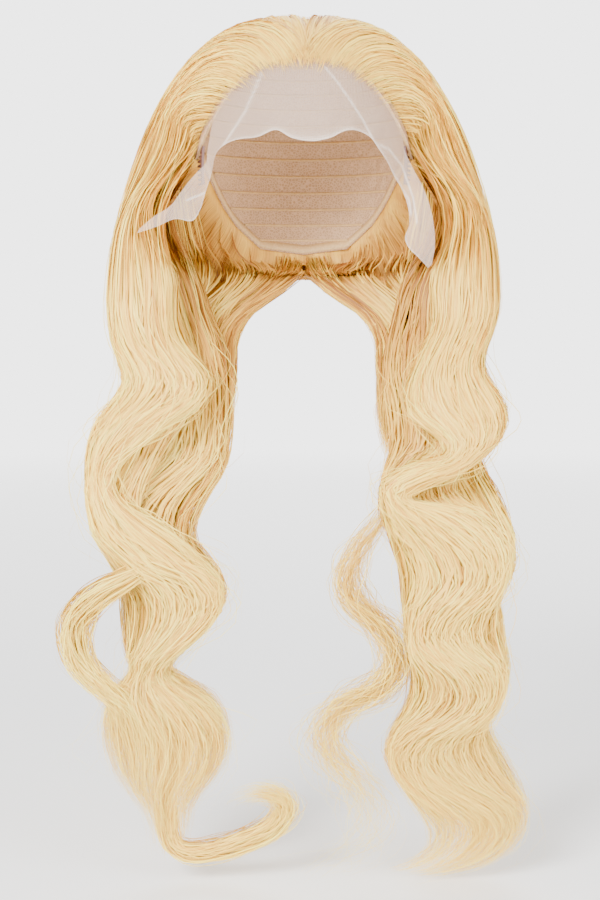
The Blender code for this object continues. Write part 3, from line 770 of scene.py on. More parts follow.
# %% The plain look, and the waves of chance
PLAIN_LOOK = {
    "each": 8,  # strands in a clump
    "step": 12.0,  # millimetres between the points of a strand
    "late": 0.0,  # share of the lock within which the strands start
    "reach": (0.84, 1.0),  # shares of the lock's length at which clumps end
    "size": (0.8, 1.02),  # a clump's place between the oval's middle, at 0, and its edge, at 1
    "tips": 0.3,  # how far the tips draw together
    "loose": 3.0,  # millimetres that a strand strays
    "across": 0.0,  # millimetres that the top of the lock reaches over the middle of the back
    "root": 4.5,  # millimetres that the roots of a clump lie apart
    "cap_steps": 17,  # points of the path over the cap
    "width": (0.6, 1.5),  # millimetres
    "root_taper": 0.07,  # share of the length over which a strand gets its full width
    "tone": 0.6,  # deep gold at 0, pale at 1
    "paler": 0.2,  # what the tone gains on the way to the tip
    "paler_by": 1.5,  # share of the length at which the tone would have gained all of it
}
# Wave lengths in millimetres.
CLUMP_WAVES = (130, 240, 420)
STRAND_WAVES = (60, 150)
SIZE_WAVES = (90, 200)
STRAY_WAVES = (70, 160, 330)
STRAY_BY_AXIS = (1.0, 0.8, 0.5)
print("values of a look:", len(PLAIN_LOOK))

# %% [markdown]
# ## One family of strands
#
# A family is laid all at once, as tables of strands by points. First come the paths down the lock, then the
# way over the cap is put before them and the joint is smoothed, and last each strand gets its width, its
# roll about itself and its tone.


# %% Lay a family of strands
def down_the_lock(chance, ladder, turns, of_clump, look):
    """Paths down a lock, and their outward directions. turns has one turn round the oval for each clump."""
    clumps, count = len(turns), len(of_clump)
    steps = int(ladder.length / look["step"])
    end_at = chance.uniform(*look["reach"], (clumps, 1))[of_clump]
    end_at = ladder.length * end_at * chance.uniform(0.9, 1, (count, 1))
    part = np.linspace(0, 1, steps)[None]
    start_at = ladder.length * look["late"] * chance.uniform(0, 1, (count, 1))
    at = start_at + (end_at - start_at) * part
    wander = drift(chance, clumps, at[:: look["each"]], CLUMP_WAVES, 0.3)[of_clump]
    wander += drift(chance, count, at, STRAND_WAVES, 0.05)
    spread = chance.normal(0, 0.13, (count, 1)) * (1 - 0.5 * part)
    size = chance.uniform(*look["size"], clumps)[of_clump, None] + chance.normal(0, 0.025, (count, 1))
    shrink = look["tips"] * chance.uniform(-0.6, 1, (count, 1))
    size = size * (1 - shrink * ease((part - 0.6) / 0.4))
    size = size + drift(chance, count, at, SIZE_WAVES, 0.02)

    # Strands in front swing most, and those at the lock's edges least.
    swing = (0.4 + 0.7 * np.maximum(0, -np.sin(turns))) * (1 - 0.6 * np.cos(turns) ** 2)
    swing = swing * chance.uniform(0.7, 1.2, clumps)
    path, out = ladder.oval(at, turns[of_clump, None] + wander + spread, size, swing[of_clump, None])

    fray = 1 + 1.2 * ease((part - 0.7) / 0.3)
    for axis, strength in enumerate(STRAY_BY_AXIS):
        stray = drift(chance, count, at, STRAY_WAVES, look["loose"] * strength)
        path[..., axis] += stray * ease(part * 3) * fray
    across = look["across"] * np.sign(ladder.rows[0, 3])
    path[..., 0] -= across * chance.uniform(0, 1, (count, 1)) * ease(1 - at / 70)
    return path, out


def from_the_root(chance, path, out, starts, look):
    """Puts the way over the cap before paths down a lock, and smooths the joint between them."""
    start, leave, lift, drop = starts
    start = start + chance.normal(0, look["root"], start.shape)
    leave = leave * chance.uniform(0.85, 1.15, (len(path), 1))
    arrive = np.zeros_like(start)
    arrive[:, 2] = np.linalg.norm(path[:, 0] - start, axis=1) * drop
    cap_path, cap_out = over_the_cap(start, leave, arrive, path[:, 0], lift, look["cap_steps"])
    path = np.concatenate([cap_path[:, :-1], path], 1)
    out = np.concatenate([cap_out[:, :-1], out], 1)
    joint = ease((look["cap_steps"] + 3 - np.arange(path.shape[1])) / 4)[None, :, None]
    return clear_of_head(path + (softened(path, 6) - path) * joint), softened(out, 4)


def lay(bundle, ladder_name, turns, starts, seed, own_look):
    """Lays one family. starts holds each clump's start, leave vector, lift and drop, or is None."""
    look = PLAIN_LOOK | own_look
    chance = np.random.default_rng(seed)
    clumps = len(turns)
    of_clump = np.repeat(np.arange(clumps), look["each"])
    count = len(of_clump)
    path, out = down_the_lock(chance, ladders[ladder_name], turns, of_clump, look)
    if starts is not None:
        path, out = from_the_root(chance, path, out, [value[of_clump] for value in starts], look)
    share = lengths_along(path)
    share = share / share[:, -1:]
    width = chance.uniform(*look["width"], (count, 1))
    width = width * np.minimum(1, (1 - share) / 0.4 + 0.06)
    width = width * np.minimum(1, share / look["root_taper"] + 0.12)
    roll = chance.normal(0, 0.3, clumps)[of_clump] + chance.normal(0, 0.22, count)
    tone = chance.normal(look["tone"], 0.09, clumps)[of_clump] + chance.normal(0, 0.1, count)
    tone = tone[:, None] + look["paler"] * ease(share / look["paler_by"])
    bundle.add(path, out, width, roll, np.clip(tone, 0, 1))


print("ladders to lay strands on:", len(ladders))

# %% [markdown]
# ## Where the strands start
#
# Hair leaves the hairline up and back, and at the temple it falls down. It also grows all over the crown,
# and the inside of each fall hangs from the rim of the cap, behind the ear and at the nape. So there are
# three kinds of start, each with its root, the way it leaves, its height over the cap and how steeply it
# arrives at its lock.

# %% Starts along the hairline, the crown and the rim
HAIRLINE_AROUND = (0, 14, 24, 36, 50, 64, 76)
HAIRLINE_DOWN = (50, 48, 51, 56, 64.5, 79, 88)
# At these places round the hairline: degrees from straight back, and millimetres of pull that way.
LEAVE_AROUND = (0, 12, 30, 60, 76)
LEAVE_SLANT = (4, 12, 36, 78, 125)
LEAVE_PULL = (105, 90, 66, 36, 20)


def hairline_starts(side, around, chance):
    """Starts along the hairline, which runs over the lace in front of the cap's rim."""
    around = np.clip(around + chance.normal(0, 3, len(around)), -5.0, 75.5)
    hairline = np.interp(np.abs(around), HAIRLINE_AROUND, HAIRLINE_DOWN)
    down = hairline - 0.3 - np.abs(chance.normal(0, 3.0, len(around)))
    start = start_on_head(down, side * around)
    up = start_on_head(down - 1, side * around) - start_on_head(down + 1, side * around)
    aside = start_on_head(down, side * (around + 1)) - start_on_head(down, side * (around - 1))
    up /= np.linalg.norm(up, axis=1, keepdims=True)
    aside /= np.linalg.norm(aside, axis=1, keepdims=True)
    slant = np.radians(np.interp(around, LEAVE_AROUND, LEAVE_SLANT))
    pull = np.interp(around, LEAVE_AROUND, LEAVE_PULL)
    leave = (up * np.cos(slant)[:, None] + aside * np.sin(slant)[:, None]) * pull[:, None]
    return start, leave, np.full(len(around), 0.35), np.interp(around, (0, 50, 76), (0.5, 0.45, 0.25))


def crown_starts(side, sideways, chance):
    """Starts all over the crown. sideways is 0 at the middle line and 1 over the ear."""
    count = len(sideways)
    start = np.zeros((count, 3))
    start[:, 0] = side * np.clip(2 + 46 * sideways + chance.normal(0, 7, count), -12, 60)
    start[:, 1] = 30 - 40 * sideways + chance.uniform(-54 + 30 * sideways, 34, count)
    flat = (start - HEAD_CENTRE) / HEAD_HALF
    start[:, 2] = HEAD_CENTRE[2] + HEAD_HALF[2] * np.sqrt(1 - flat[:, 0] ** 2 - flat[:, 1] ** 2)
    leave = np.zeros((count, 3))
    leave[:, 0] = side * (4 + 40 * sideways)
    leave[:, 1] = 46 - 30 * sideways
    return start, leave, np.full(count, 0.25), np.full(count, 0.5)


def rim_starts(side, around, chance):
    """Hidden starts at the cap's rim behind the temple, for strands inside the falls."""
    around = np.clip(around + chance.normal(0, 3, len(around)), 66, 187)
    down = cap_rim(around) - 1 - np.abs(chance.normal(0, 3, len(around)))
    start = start_on_head(down, side * around)
    leave = np.zeros_like(start)
    leave[:, 2] = -12
    return start, leave, np.full(len(around), 0.02), np.full(len(around), 0.3)


print("hairline in the middle:", HAIRLINE_DOWN[0], "degrees down, and at the temple:", HAIRLINE_DOWN[-1])

# %% [markdown]
# ## The main falls
#
# Each side has four pieces of strands: the front lock that sweeps down over the others, the hair beside and
# behind it, the inner lock, and the short lock by the neck. A piece is several families, and in a family the
# turns round the oval run evenly with the places of the roots, so that strands don't cross. Hair inside the
# falls and by the neck is painted a deeper gold as shade, and a few loose strands fly free of each fall.

# %% Lay the strands of both sides
CLUMPS_OF_FIVE = {"each": 5}
# Strands inside a fall start deep gold and get paler along their length: painted shade where the fall covers
# them.
INNER_SHADE_LOOK = {
    "tone": 0.04, "cap_steps": 9, "each": 7, "root": 3.5, "root_taper": 0.01, "paler": 0.6, "paler_by": 0.5,
}
# Hair at the nape has a lower tone: painted shade under the falls.
NAPE_LOOK = {"size": (0.96, 1.08), "tone": 0.45, "across": 9.0, "root": 2.5, "root_taper": 0.01}
STRAY_LOOK = {
    "each": 3, "width": (0.25, 0.5), "loose": 20.0, "size": (0.9, 1.12), "tone": 0.7, "reach": (0.6, 1.0),
}
# Each family: ladder, clumps, first and last turn in half circles, kind of start, the starts' places at
# those turns, seed and look.
FAMILIES = {
    "front_lock": [
        ("sweep", 150, (1, 2), hairline_starts, (75, 28), 100, CLUMPS_OF_FIVE),
        ("sweep", 22, (0.75, 1.15), rim_starts, (84, 68), 104, INNER_SHADE_LOOK | {"tone": 0.4}),
        ("sweep", 16, (1, 2), hairline_starts, (75, 20), 108, STRAY_LOOK),
    ],
    "side": [
        ("beside", 84, (-0.6, 0.6), hairline_starts, (40, 12), 112, CLUMPS_OF_FIVE),
        ("behind", 64, (-0.5, 0.5), crown_starts, (0.9, 0.6), 116, CLUMPS_OF_FIVE),
    ],
    "inner_lock": [
        ("inner_lock", 64, (-0.6, 0.1), hairline_starts, (20, 5), 120, CLUMPS_OF_FIVE),
        ("inner_lock", 60, (0, 0.6), crown_starts, (1.0, 0.7), 124, CLUMPS_OF_FIVE),
        ("inner_lock", 40, (0.6, 1.4), rim_starts, (104, 76), 128, INNER_SHADE_LOOK),
        ("inner_lock", 14, (-1, 0.6), hairline_starts, (30, 5), 132, STRAY_LOOK),
    ],
    "neck_lock": [
        # The hair by the neck has lower tones than the rest: painted shade, where the falls in front cover
        # it.
        ("neck_lock", 56, (0.1, 1.0), hairline_starts, (14, 0), 140, CLUMPS_OF_FIVE | {"tone": 0.55}),
        ("neck_lock", 98, (-0.1, 1.0), crown_starts, (0.8, 0.0), 144, CLUMPS_OF_FIVE | {"tone": 0.5}),
        ("neck_lock", 44, (1.0, 1.95), rim_starts, (179, 96), 148, INNER_SHADE_LOOK),
        ("neck_lock", 34, (0.7, 1.2), crown_starts, (0.2, 0), 152, NAPE_LOOK),
        ("neck_lock", 12, (0.9, 1.3), rim_starts, (179, 170), 156, NAPE_LOOK | {"tone": 0.2}),
    ],
}
# Half sizes in millimetres of an oval of middling size.
MIDDLE_OVAL = (34, 24)


def even_turns(chance, count, low, high, wide, deep):
    """Turns round an oval that are even along its edge."""
    turn = np.linspace(low, high, 400)
    speed = np.hypot(wide * np.sin(turn), deep * np.cos(turn))
    total = np.concatenate([[0], np.cumsum((speed[1:] + speed[:-1]) / 2)])
    return np.interp(chance.uniform(0, total[-1], count), total, turn)


for side_seed, (label, side) in enumerate((("left", 1), ("right", -1))):
    for part, families in FAMILIES.items():
        bundle = Strands()
        for ladder_part, clumps, turn_range, kind, place_range, seed, look in families:
            chance = np.random.default_rng(seed + side_seed + 500)
            turns = even_turns(chance, clumps, turn_range[0] * np.pi, turn_range[1] * np.pi, *MIDDLE_OVAL)
            places = np.interp(turns / np.pi, turn_range, place_range)
            starts = kind(side, places, chance)
            lay(bundle, f"{label}_{ladder_part}", turns, starts, seed + side_seed, look)
        bundle.finish(f"{label}_{part}_strands")

# %% [markdown]
# ## The thin locks
#
# Three thin locks part from the falls: a wavy one by the neck, an open loop and a curl at the end. They
# leave the falls lower down, so their strands start inside a fall, each at its own height, and spread
# wider than their ladder, as fine loose hair does.

# %% Lay the strands of the thin locks
THIN_LOOK = {
    "step": 6.0, "width": (0.3, 0.65), "size": (0.1, 2.0), "each": 5, "loose": 13.0, "tone": 0.7,
    "late": 0.3, "root_taper": 0.25,
}
# For each: clumps, and what differs from the look of the others.
THIN_OWN = {
    "left_thin_lock": (64, {"reach": (0.6, 1.0), "loose": 18.0, "width": (0.25, 0.55)}),
    "right_outer_lock": (90, {"reach": (0.88, 1.0), "loose": 7.0, "size": (0.1, 1.1), "width": (0.4, 0.9)}),
    "right_end_curl": (80, {"reach": (0.85, 1.0), "loose": 8.0, "size": (0.1, 1.2), "width": (0.35, 0.8)}),
}
for seed, name in enumerate(THIN_PATHS):
    clumps, own_look = THIN_OWN[name]
    chance = np.random.default_rng(60 + seed)
    bundle = Strands()
    turns = even_turns(chance, clumps, 0, 2 * np.pi, 5, 5)
    lay(bundle, name, turns, None, 160 + seed, THIN_LOOK | own_look)
    piece = bundle.finish(f"{name}_strands")
    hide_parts(name)

# %% [markdown]
# ## The body inside each fall
#
# Under the loose strands lies a solid body of hair, so that no light shines through a thick lock. It is a
# plain smooth form on the lock's own ladder, smaller than the lock and pointed at both ends, with fine
# ridges along it.

# %% Make the bodies of the falls
BODY_COLUMNS = 48
BODY_STEP = 5
BODY_END = 0.93
BODY_TOP_SHARE, BODY_TIP_SHARE = 0.74, 0.3
BODY_SWING = 0.6


def add_body(name, node):
    ladder = ladders[node]
    rows, columns = int(ladder.length / BODY_STEP), BODY_COLUMNS
    at = np.linspace(0, BODY_END * ladder.length, rows)[:, None]
    turn = np.linspace(0, 2 * np.pi, columns, endpoint=False)[None] + 0 * at
    part = at / ladder.length
    size = BODY_TOP_SHARE + (BODY_TIP_SHARE - BODY_TOP_SHARE) * ease((part - 0.25) / 0.7)
    size = size * ease(0.1 + at / 80) * ease((BODY_END + 0.01 - part) / 0.12)
    ridges = np.sin(9 * turn + 2.2 * np.sin(at / 70)) + 0.7 * np.sin(17 * turn - 1.4 * np.sin(at / 45 + 1))
    points, _ = ladder.oval(at + 0 * turn, turn, size * (1 + 0.022 * ridges), BODY_SWING)
    # The tone is lighter on the ridges and darker in the grooves between them, which is painted shade, and
    # paler towards the tip.
    ridge_shade_and_tone = 0.42 + 0.05 * ridges + 0.2 * part
    ends = [points[0].mean(0), points[-1].mean(0)]
    points = np.concatenate([points.reshape(-1, 3), ends])
    faces = grid_faces(rows, columns, True)
    around = np.arange(columns)
    top = np.stack([np.full(columns, len(points) - 2), (around + 1) % columns, around], -1)
    low = (rows - 1) * columns
    tip = np.stack([np.full(columns, len(points) - 1), low + around, low + (around + 1) % columns], -1)
    faces = np.concatenate([faces[:, [0, 1, 2]], faces[:, [0, 2, 3]], top, tip])
    tone_all = np.concatenate([ridge_shade_and_tone.ravel(), [0.3, 0.3]])
    uv = np.stack([np.abs(turn - np.pi) * 26, at + 0 * turn], -1).reshape(-1, 2)
    uv = np.concatenate([uv, [[0, 0], [0, ladder.length]]]) * MM
    piece = add_piece(name, points, faces, hair_material, [("tone", tone_all)], uv)
    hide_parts(node)
    print(name, "faces", len(faces))


for node in LADDERS:
    if node in frame["nodes"]:
        add_body(f"{node}_body", node)

# %% [markdown]
# ## The body over the cap
#
# A second body covers the cap, so that its net doesn't show between the strands. In front it ends just
# short of the cap's rim, and at the crown it lies low. Behind the ears and at the nape it goes on below the
# rim as a wall with an inner skin, where the falls start.

# %% Make the hair's body over the cap
rows, columns = 44, 144
turns = np.linspace(-180, 180, columns, endpoint=False)
lowest = np.degrees(np.arccos((HAIR_BOTTOM - HEAD_CENTRE[2]) / HEAD_HALF[2])) - 8
behind_ear = ease((np.abs(turns) - 84) / 16)
lower_edge = (cap_rim(turns) - 3) * (1 - behind_ear) + lowest * behind_ear
down = np.linspace(0.002, 1, rows)[:, None] * lower_edge
around = turns + 0 * down
floor_of = head_radius(down, around) + CAP_WALL + 0.4
room = (hair_reach(down, around) - floor_of) * ease((lower_edge - down) / 12 + behind_ear)
below_rim = ease((down - cap_rim(around)) / 8)
near_top = 1 - ease((down - 14) / 24)
outer_part = room * (0.5 + 0.24 * below_rim - 0.32 * near_top)
inner_part = room * 0.62 * below_rim
skins = []
for part in (outer_part, inner_part):
    skin = HEAD_CENTRE + way_out(down, around) * (floor_of + part)[..., None]
    skins.append(skin.reshape(-1, 3))
outer_faces = grid_faces(rows, columns, True)
inner_faces = outer_faces[:, ::-1] + rows * columns
low = (rows - 1) * columns
edge = np.stack([low + np.arange(columns), low + (np.arange(columns) + 1) % columns], -1)
bottom = np.concatenate([edge[:, ::-1], edge + rows * columns], 1)
faces = np.concatenate([outer_faces, inner_faces, bottom])
# Below the cap's rim, where the falls hang over it, the tone is lowered as painted shade; the waves round
# the head are streaks of tone.
streak_and_shade = 0.36 - 0.2 * below_rim + 0.06 * np.sin(around * 1.9) + 0.05 * np.sin(around * 4.3 + 1)
streak_and_shade = np.tile(streak_and_shade.ravel(), 2)
MM_PER_DEGREE = 1.7
skin_map = np.stack([np.abs(around), down], -1).reshape(-1, 2) * MM_PER_DEGREE * MM
skin_map = np.tile(skin_map, (2, 1))
points = np.concatenate(skins)
cap_hair = add_piece("hair_over_cap", points, faces, hair_material, [("tone", streak_and_shade)], skin_map)
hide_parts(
    "crown_hair",
    "front_hair_left",
    "front_hair_right",
    "side_hair_left",
    "side_hair_right",
    "back_hair_left",
    "back_hair_right",
)
print("hair over the cap: faces", len(faces))

# %% [markdown]
# ## The cap
#
# The cap is a stretch net with rows of weft sewn round its inside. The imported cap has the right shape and
# stays. Its net is too fine to model, so it is a pattern of threads in the material.

# %% Finish the cap
net_material, net_shader, wire = new_material("cap_net", 0.8)
place = wire.node("ShaderNodeTexCoord", {}, {}, "Object")
threads = wire.node(
    "ShaderNodeTexVoronoi", {"feature": "DISTANCE_TO_EDGE"}, {"Vector": place, "Scale": 520.0}
)
cloud = wire.node("ShaderNodeTexNoise", {}, {"Vector": place, "Scale": 40.0, "Detail": 3.0}, "Fac")
net_mask = wire.node("ShaderNodeMapRange", {}, {"Value": threads, "From Min": 0.06, "From Max": 0.2})
net_colour = wire.node(
    "ShaderNodeMix",
    {"data_type": "RGBA"},
    {
        "Factor": net_mask * 0.5 + cloud * 0.4,
        "A": (*linear(226, 192, 152), 1),
        "B": (*linear(176, 134, 98), 1),
    },
    "Result",
)
feed(net_colour, net_shader, "Base Color")
bump = wire.node("ShaderNodeBump", {}, {"Height": net_mask, "Strength": 0.3, "Distance": 0.0004}, "Normal")
feed(bump, net_shader, "Normal")
frame["nodes"]["cap"].data.materials.clear()
frame["nodes"]["cap"].data.materials.append(net_material)
print("net nodes", len(wire.tree.nodes))

# %% [markdown]
# ## Rows of weft
#
# The hair is sewn to long threads, the wefts, and these go round the inside of the cap in rows. They stand
# proud, so each is a torus. It is stretched to the cap's oval and cut off at the rim.

# %% Sew the rows of weft
weft_material, weft_shader, wire = new_material("weft_thread", 0.6)
place = wire.node("ShaderNodeTexCoord", {}, {}, "Object")
stitch = wire.node("ShaderNodeTexNoise", {}, {"Vector": place, "Scale": 700.0, "Detail": 2.0}, "Fac")
weft_colour = wire.node(
    "ShaderNodeMix",
    {"data_type": "RGBA"},
    {"Factor": stitch, "A": (*linear(236, 206, 150), 1), "B": (*linear(196, 150, 92), 1)},
    "Result",
)
feed(weft_colour, weft_shader, "Base Color")

WEFT_STEP = 7.5
WEFT_RADIUS = 0.9
RING_RADIUS = 0.1
inside = HEAD_HALF - 0.8
weft_rows = []
for down in np.arange(30, 124, WEFT_STEP):
    bpy.ops.object.select_all(action="DESELECT")
    flat, level = math.sin(math.radians(down)), math.cos(math.radians(down))
    height = (HEAD_CENTRE[2] + inside[2] * level) * MM
    bpy.ops.mesh.primitive_torus_add(
        major_radius=RING_RADIUS,
        minor_radius=WEFT_RADIUS * MM,
        major_segments=120,
        minor_segments=8,
        location=(0, 0, height),
    )
    row = bpy.context.active_object
    stretch = inside * flat * MM / RING_RADIUS
    bpy.ops.object.mode_set(mode="EDIT")
    bpy.ops.mesh.select_all(action="SELECT")
    bpy.ops.transform.resize(value=(stretch[0], stretch[1], 1))
    bpy.ops.mesh.select_all(action="DESELECT")
    bpy.ops.object.mode_set(mode="OBJECT")
    for vertex in row.data.vertices:
        around = math.degrees(math.atan2(vertex.co.x / HEAD_HALF[0], -vertex.co.y / HEAD_HALF[1]))
        vertex.select = bool(cap_rim(around) < down + 4)
    bpy.ops.object.mode_set(mode="EDIT")
    bpy.ops.mesh.delete(type="VERT")
    bpy.ops.object.mode_set(mode="OBJECT")
    bpy.ops.object.transform_apply(location=True, rotation=True, scale=True)
    if len(row.data.vertices):
        weft_rows.append(row)
bpy.ops.object.select_all(action="DESELECT")
for row in weft_rows:
    row.select_set(True)
bpy.context.view_layer.objects.active = weft_rows[0]
bpy.ops.object.join()
wefts = bpy.context.active_object
wefts.name = "cap_wefts"
bpy.ops.object.shade_smooth()
wefts.data.materials.append(weft_material)
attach(wefts, "root")
print("weft rows:", len(weft_rows))

# %% [markdown]
# ## The band
#
# A band of tape runs round the rim, so that the net doesn't fray. It follows the rim's curve, which no plain
# shape has, so it is made from a table too.

# %% Run the band round the rim
# The band's section: degrees up from the rim, and millimetres out from the cap's inside.
BAND_SECTION = ((0.2, -0.25), (0.2, -1.0), (2.2, -1.3), (4.4, -1.0), (4.4, -0.25))
BAND_COLUMNS = 160
turns = np.linspace(-180, 180, BAND_COLUMNS, endpoint=False)
band_rows = []
for back, out in BAND_SECTION:
    way = way_out(cap_rim(turns) - back, turns)
    band_rows.append(HEAD_CENTRE + way * (HEAD_HALF + out))
band_faces = grid_faces(len(BAND_SECTION), BAND_COLUMNS, True)
band = add_piece("cap_band", np.concatenate(band_rows), band_faces, weft_material)
print("band faces", len(band_faces))

# %% [markdown]
# ## Combs
#
# Small dark combs inside the temples hold the cap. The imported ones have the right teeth, so they only
# need their finish: satin dark brown plastic with a faint cloud in its colour.

# %% Finish the combs
comb_material, comb_shader, wire = new_material("comb_plastic", 0.35)
place = wire.node("ShaderNodeTexCoord", {}, {}, "Object")
cloud = wire.node("ShaderNodeTexNoise", {}, {"Vector": place, "Scale": 90.0, "Detail": 4.0}, "Fac")
comb_colour = wire.node(
    "ShaderNodeMix",
    {"data_type": "RGBA"},
    {"Factor": cloud, "A": (*linear(86, 54, 48), 1), "B": (*linear(116, 78, 70), 1)},
    "Result",
)
feed(comb_colour, comb_shader, "Base Color")
feed(0.28 + cloud * 0.2, comb_shader, "Roughness")
for name in ("comb_left", "comb_right"):
    frame["nodes"][name].data.materials.clear()
    frame["nodes"][name].data.materials.append(comb_material)
print("combs finished")

# %% [markdown]
# ## The lace
#
# The lace runs from the tip of one ear tab, over the forehead, to the tip of the other. Its cut edge is
# wavy, and in the middle it runs on under the hair up to the cap's rim. It is one thin sheet, laid out in
# rows from its upper to its lower edge as the view shows them. Over the forehead it lies on the cap's form,
# and at the tabs it hangs free. Simulation would move the edge away from its real line, so a smooth surface
# through the rows was chosen.

# %% Lay out the lace
# Each row: upper x, upper y, lower x, lower y in pixels, then the depths of both edges. An edge without a
# depth lies on the head's form.
LACE_ROWS = [
    (139, 229, 137, 233, -50, -50), (153, 217, 158, 226, -54, -55), (170, 206, 175, 219, -57, -58),
    (180, 193, 192, 221, -58, -58), (189, 181, 200, 210, -58, -57), (198, 171, 205, 194, -57, -55),
    (206, 162, 211, 175, -55, -54), (208, 147, 216, 154), (213, 120, 226, 144), (222, 95, 240, 139),
    (238, 76, 258, 137), (262, 66, 276, 130), (287, 63, 292, 138), (306, 63, 312, 141),
    (325, 66, 330, 138), (343, 73, 345, 131), (362, 82, 358, 131), (380, 93, 370, 137),
    (391, 104, 378, 148), (397, 119, 386, 160), (402, 135, 394, 176), (405, 151, 402, 190, None, -50),
    (414, 170, 408, 207, -45, -50), (423, 187, 409, 224, -50, -52), (430, 206, 405, 238, -54, -54),
    (434, 226, 409, 248, -56, -54), (435, 246, 418, 257, -56, -54), (432, 264, 428, 268, -54, -53),
]
# Under the hair the lace goes on by this many pixels at its middle, and less to both sides.
TO_RIM, MIDDLE_X, TO_RIM_HALF = 28, 308, 78
HEAD_GAP = 0.5


def on_forehead(pixel_x, pixel_y):
    """The cap form's point at a pixel, or just below the cap's rim where the pixel lies above it."""
    ray = at_pixel(pixel_x, pixel_y, 0.0) - EYE
    half = HEAD_HALF + HEAD_GAP
    first, step = (EYE - HEAD_CENTRE) / half, ray / half
    near = -(first * step).sum(-1) / (step * step).sum(-1)
    closest = first + step * near[..., None]
    inside = np.maximum(1 - (closest**2).sum(-1), 0)
    near -= np.sqrt(inside / (step * step).sum(-1))
    way = first + step * near[..., None]
    down, around = angles_of(way)
    down = np.maximum(down, cap_rim(around) + 0.8)
    return HEAD_CENTRE + way_out(down, around) * half


def to_pixel(points):
    """Where the view shows these points."""
    from_eye = points - EYE
    scale = pixels_away / (from_eye @ ahead)
    return FRAME_WIDTH / 2 + from_eye[..., 0] * scale, FRAME_HEIGHT / 2 - (from_eye @ view_up) * scale


def finer(grid, count):
    """A grid read more finely along its first direction."""
    at = np.linspace(0, len(grid) - 1, count)
    return curve_through(grid.reshape(len(grid), -1), at).reshape(count, *grid.shape[1:])


across = np.linspace(0, 1, 11)
lace_grid = []
for top_x, top_y, low_x, low_y, *depths in LACE_ROWS:
    to_rim = TO_RIM * max(0, 1 - abs(top_x - MIDDLE_X) / TO_RIM_HALF)
    if to_rim:
        top_x, top_y = to_pixel(on_forehead(top_x, top_y - to_rim))
    row = on_forehead(top_x + (low_x - top_x) * across, top_y + (low_y - top_y) * across)
    if depths:
        top_depth, low_depth = depths
        top = row[0] if top_depth is None else at_pixel(top_x, top_y, top_depth)
        low = at_pixel(low_x, low_y, low_depth)
        row = top + (low - top) * across[:, None]
    lace_grid.append(row)
LONG, WIDE = 217, 33
lace_grid = finer(np.array(lace_grid), LONG)
lace_grid = finer(lace_grid.swapaxes(0, 1), WIDE).swapaxes(0, 1)

# The free edge ripples a little.
edge_part = np.linspace(0, 1, WIDE)[None, :] ** 3
run = np.linspace(0, 1, LONG)[:, None]
ripple = np.sin(run * 95) * 0.7 + np.sin(run * 41 + 1) * 0.9 - 0.9
lace_grid[..., 1] += edge_part * ripple
print("lace points", lace_grid.shape[:2])

# %% [markdown]
# ## Creases and the lace's own map
#
# Fine creases run down the lace where it was folded. They hardly stand out from it, so they are kept as an
# attribute that lightens it, like the cut edge. The map follows the cloth in metres, and gives its size.

# %% Mark the creases and measure the cloth
seen_x, seen_y = to_pixel(lace_grid)
# Each crease is a line of pixels.
CREASES = [
    [
        (325, 67), (339, 84), (352, 103), (363, 120), (373, 139), (386, 160), (398, 181), (409, 200),
        (411, 214),
    ],
    [(372, 142), (389, 149), (402, 166), (413, 197), (417, 223)],
    [(187, 200), (205, 193)],
    [(222, 147), (245, 112), (262, 72)],
]
CREASE_PIXELS = 1.1
EDGE_SHARE = 1 / 22
fold = np.zeros((LONG, WIDE))
for crease in CREASES:
    at = np.linspace(0, len(crease) - 1, 120)
    crease_x, crease_y = (np.interp(at, np.arange(len(crease)), column) for column in np.transpose(crease))
    gap = np.hypot(seen_x[..., None] - crease_x, seen_y[..., None] - crease_y).min(-1)
    fold = np.maximum(fold, 0.8 * np.exp(-((gap / CREASE_PIXELS) ** 2)))
edge = np.exp(-(((1 - np.linspace(0, 1, WIDE)[None, :]) / EDGE_SHARE) ** 2)) + 0 * fold
fold = np.maximum(fold, 0.7 * edge)

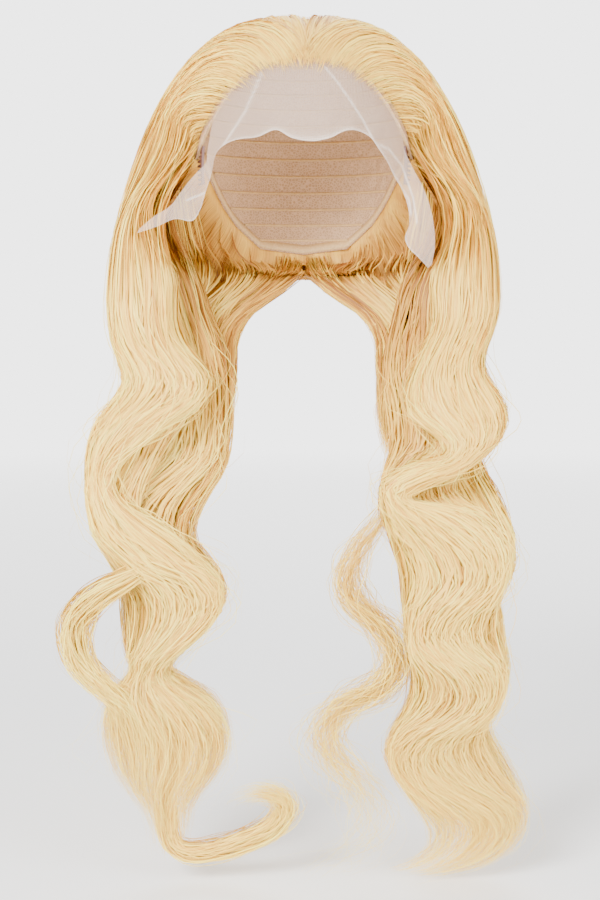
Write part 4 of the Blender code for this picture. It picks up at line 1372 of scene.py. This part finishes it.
steps_long = np.linalg.norm(np.diff(lace_grid, axis=0), axis=2).mean(1)
steps_wide = np.linalg.norm(np.diff(lace_grid, axis=1), axis=2)
map_u = np.concatenate([[0], np.cumsum(steps_long)])[:, None] + np.zeros((LONG, WIDE))
map_v = np.concatenate([np.zeros((LONG, 1)), np.cumsum(steps_wide, 1)], 1)
lace_uv = np.stack([map_u, map_v], -1).reshape(-1, 2) * MM
lace_faces = grid_faces(LONG, WIDE)
corner = lace_grid.reshape(-1, 3)[lace_faces]
diagonals = np.cross(corner[:, 2] - corner[:, 0], corner[:, 3] - corner[:, 1])

# %% [markdown]
# ## Lace finish
#
# The net is so fine that it looks like a film. Its holes are the alpha of the material: a net of cells of
# about a millimetre, on the lace's own map, where the threads are nearly solid and the holes nearly clear.
# Creases and the cut edge are brighter, because the net lies double there or is seen edge on.

# %% Give the lace its net
lace_material, lace_shader, wire = new_material("sheer_lace", 0.7)
lace_map = wire.node("ShaderNodeUVMap", {"uv_map": "UVMap"}, {})
cells = wire.node(
    "ShaderNodeTexVoronoi",
    {"feature": "DISTANCE_TO_EDGE", "voronoi_dimensions": "2D"},
    {"Vector": lace_map, "Scale": 900.0, "Randomness": 0.35},
)
thread = wire.node(
    "ShaderNodeMapRange",
    {},
    {"Value": cells, "From Min": 0.08, "From Max": 0.2, "To Min": 1.0, "To Max": 0.0},
)
crease = wire.node("ShaderNodeAttribute", {"attribute_name": "fold"}, {}, "Fac")
cover = wire.node(
    "ShaderNodeMath", {"operation": "ADD", "use_clamp": True}, {0: 0.12 + thread * 0.44, 1: crease * 0.36}
)
feed(cover, lace_shader, "Alpha")
lace_tint = wire.node(
    "ShaderNodeMix",
    {"data_type": "RGBA"},
    {"Factor": crease, "A": (*linear(240, 214, 194), 1), "B": (*linear(252, 240, 228), 1)},
    "Result",
)
feed(lace_tint, lace_shader, "Base Color")
lace = add_piece(
    "lace_panel", lace_grid.reshape(-1, 3), lace_faces, lace_material, [("fold", fold.ravel())], uv=lace_uv
)
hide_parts("lace_front")
print("lace faces", len(lace.data.polygons))

# %% [markdown]
# ## The size
#
# The dressed wig's box is printed. Its hair may stand a little proud of the imported model's box.

# %% Print the dressed wig's box
low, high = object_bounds()
print("visual box", [round(x, 3) for x in (*low, *high)])
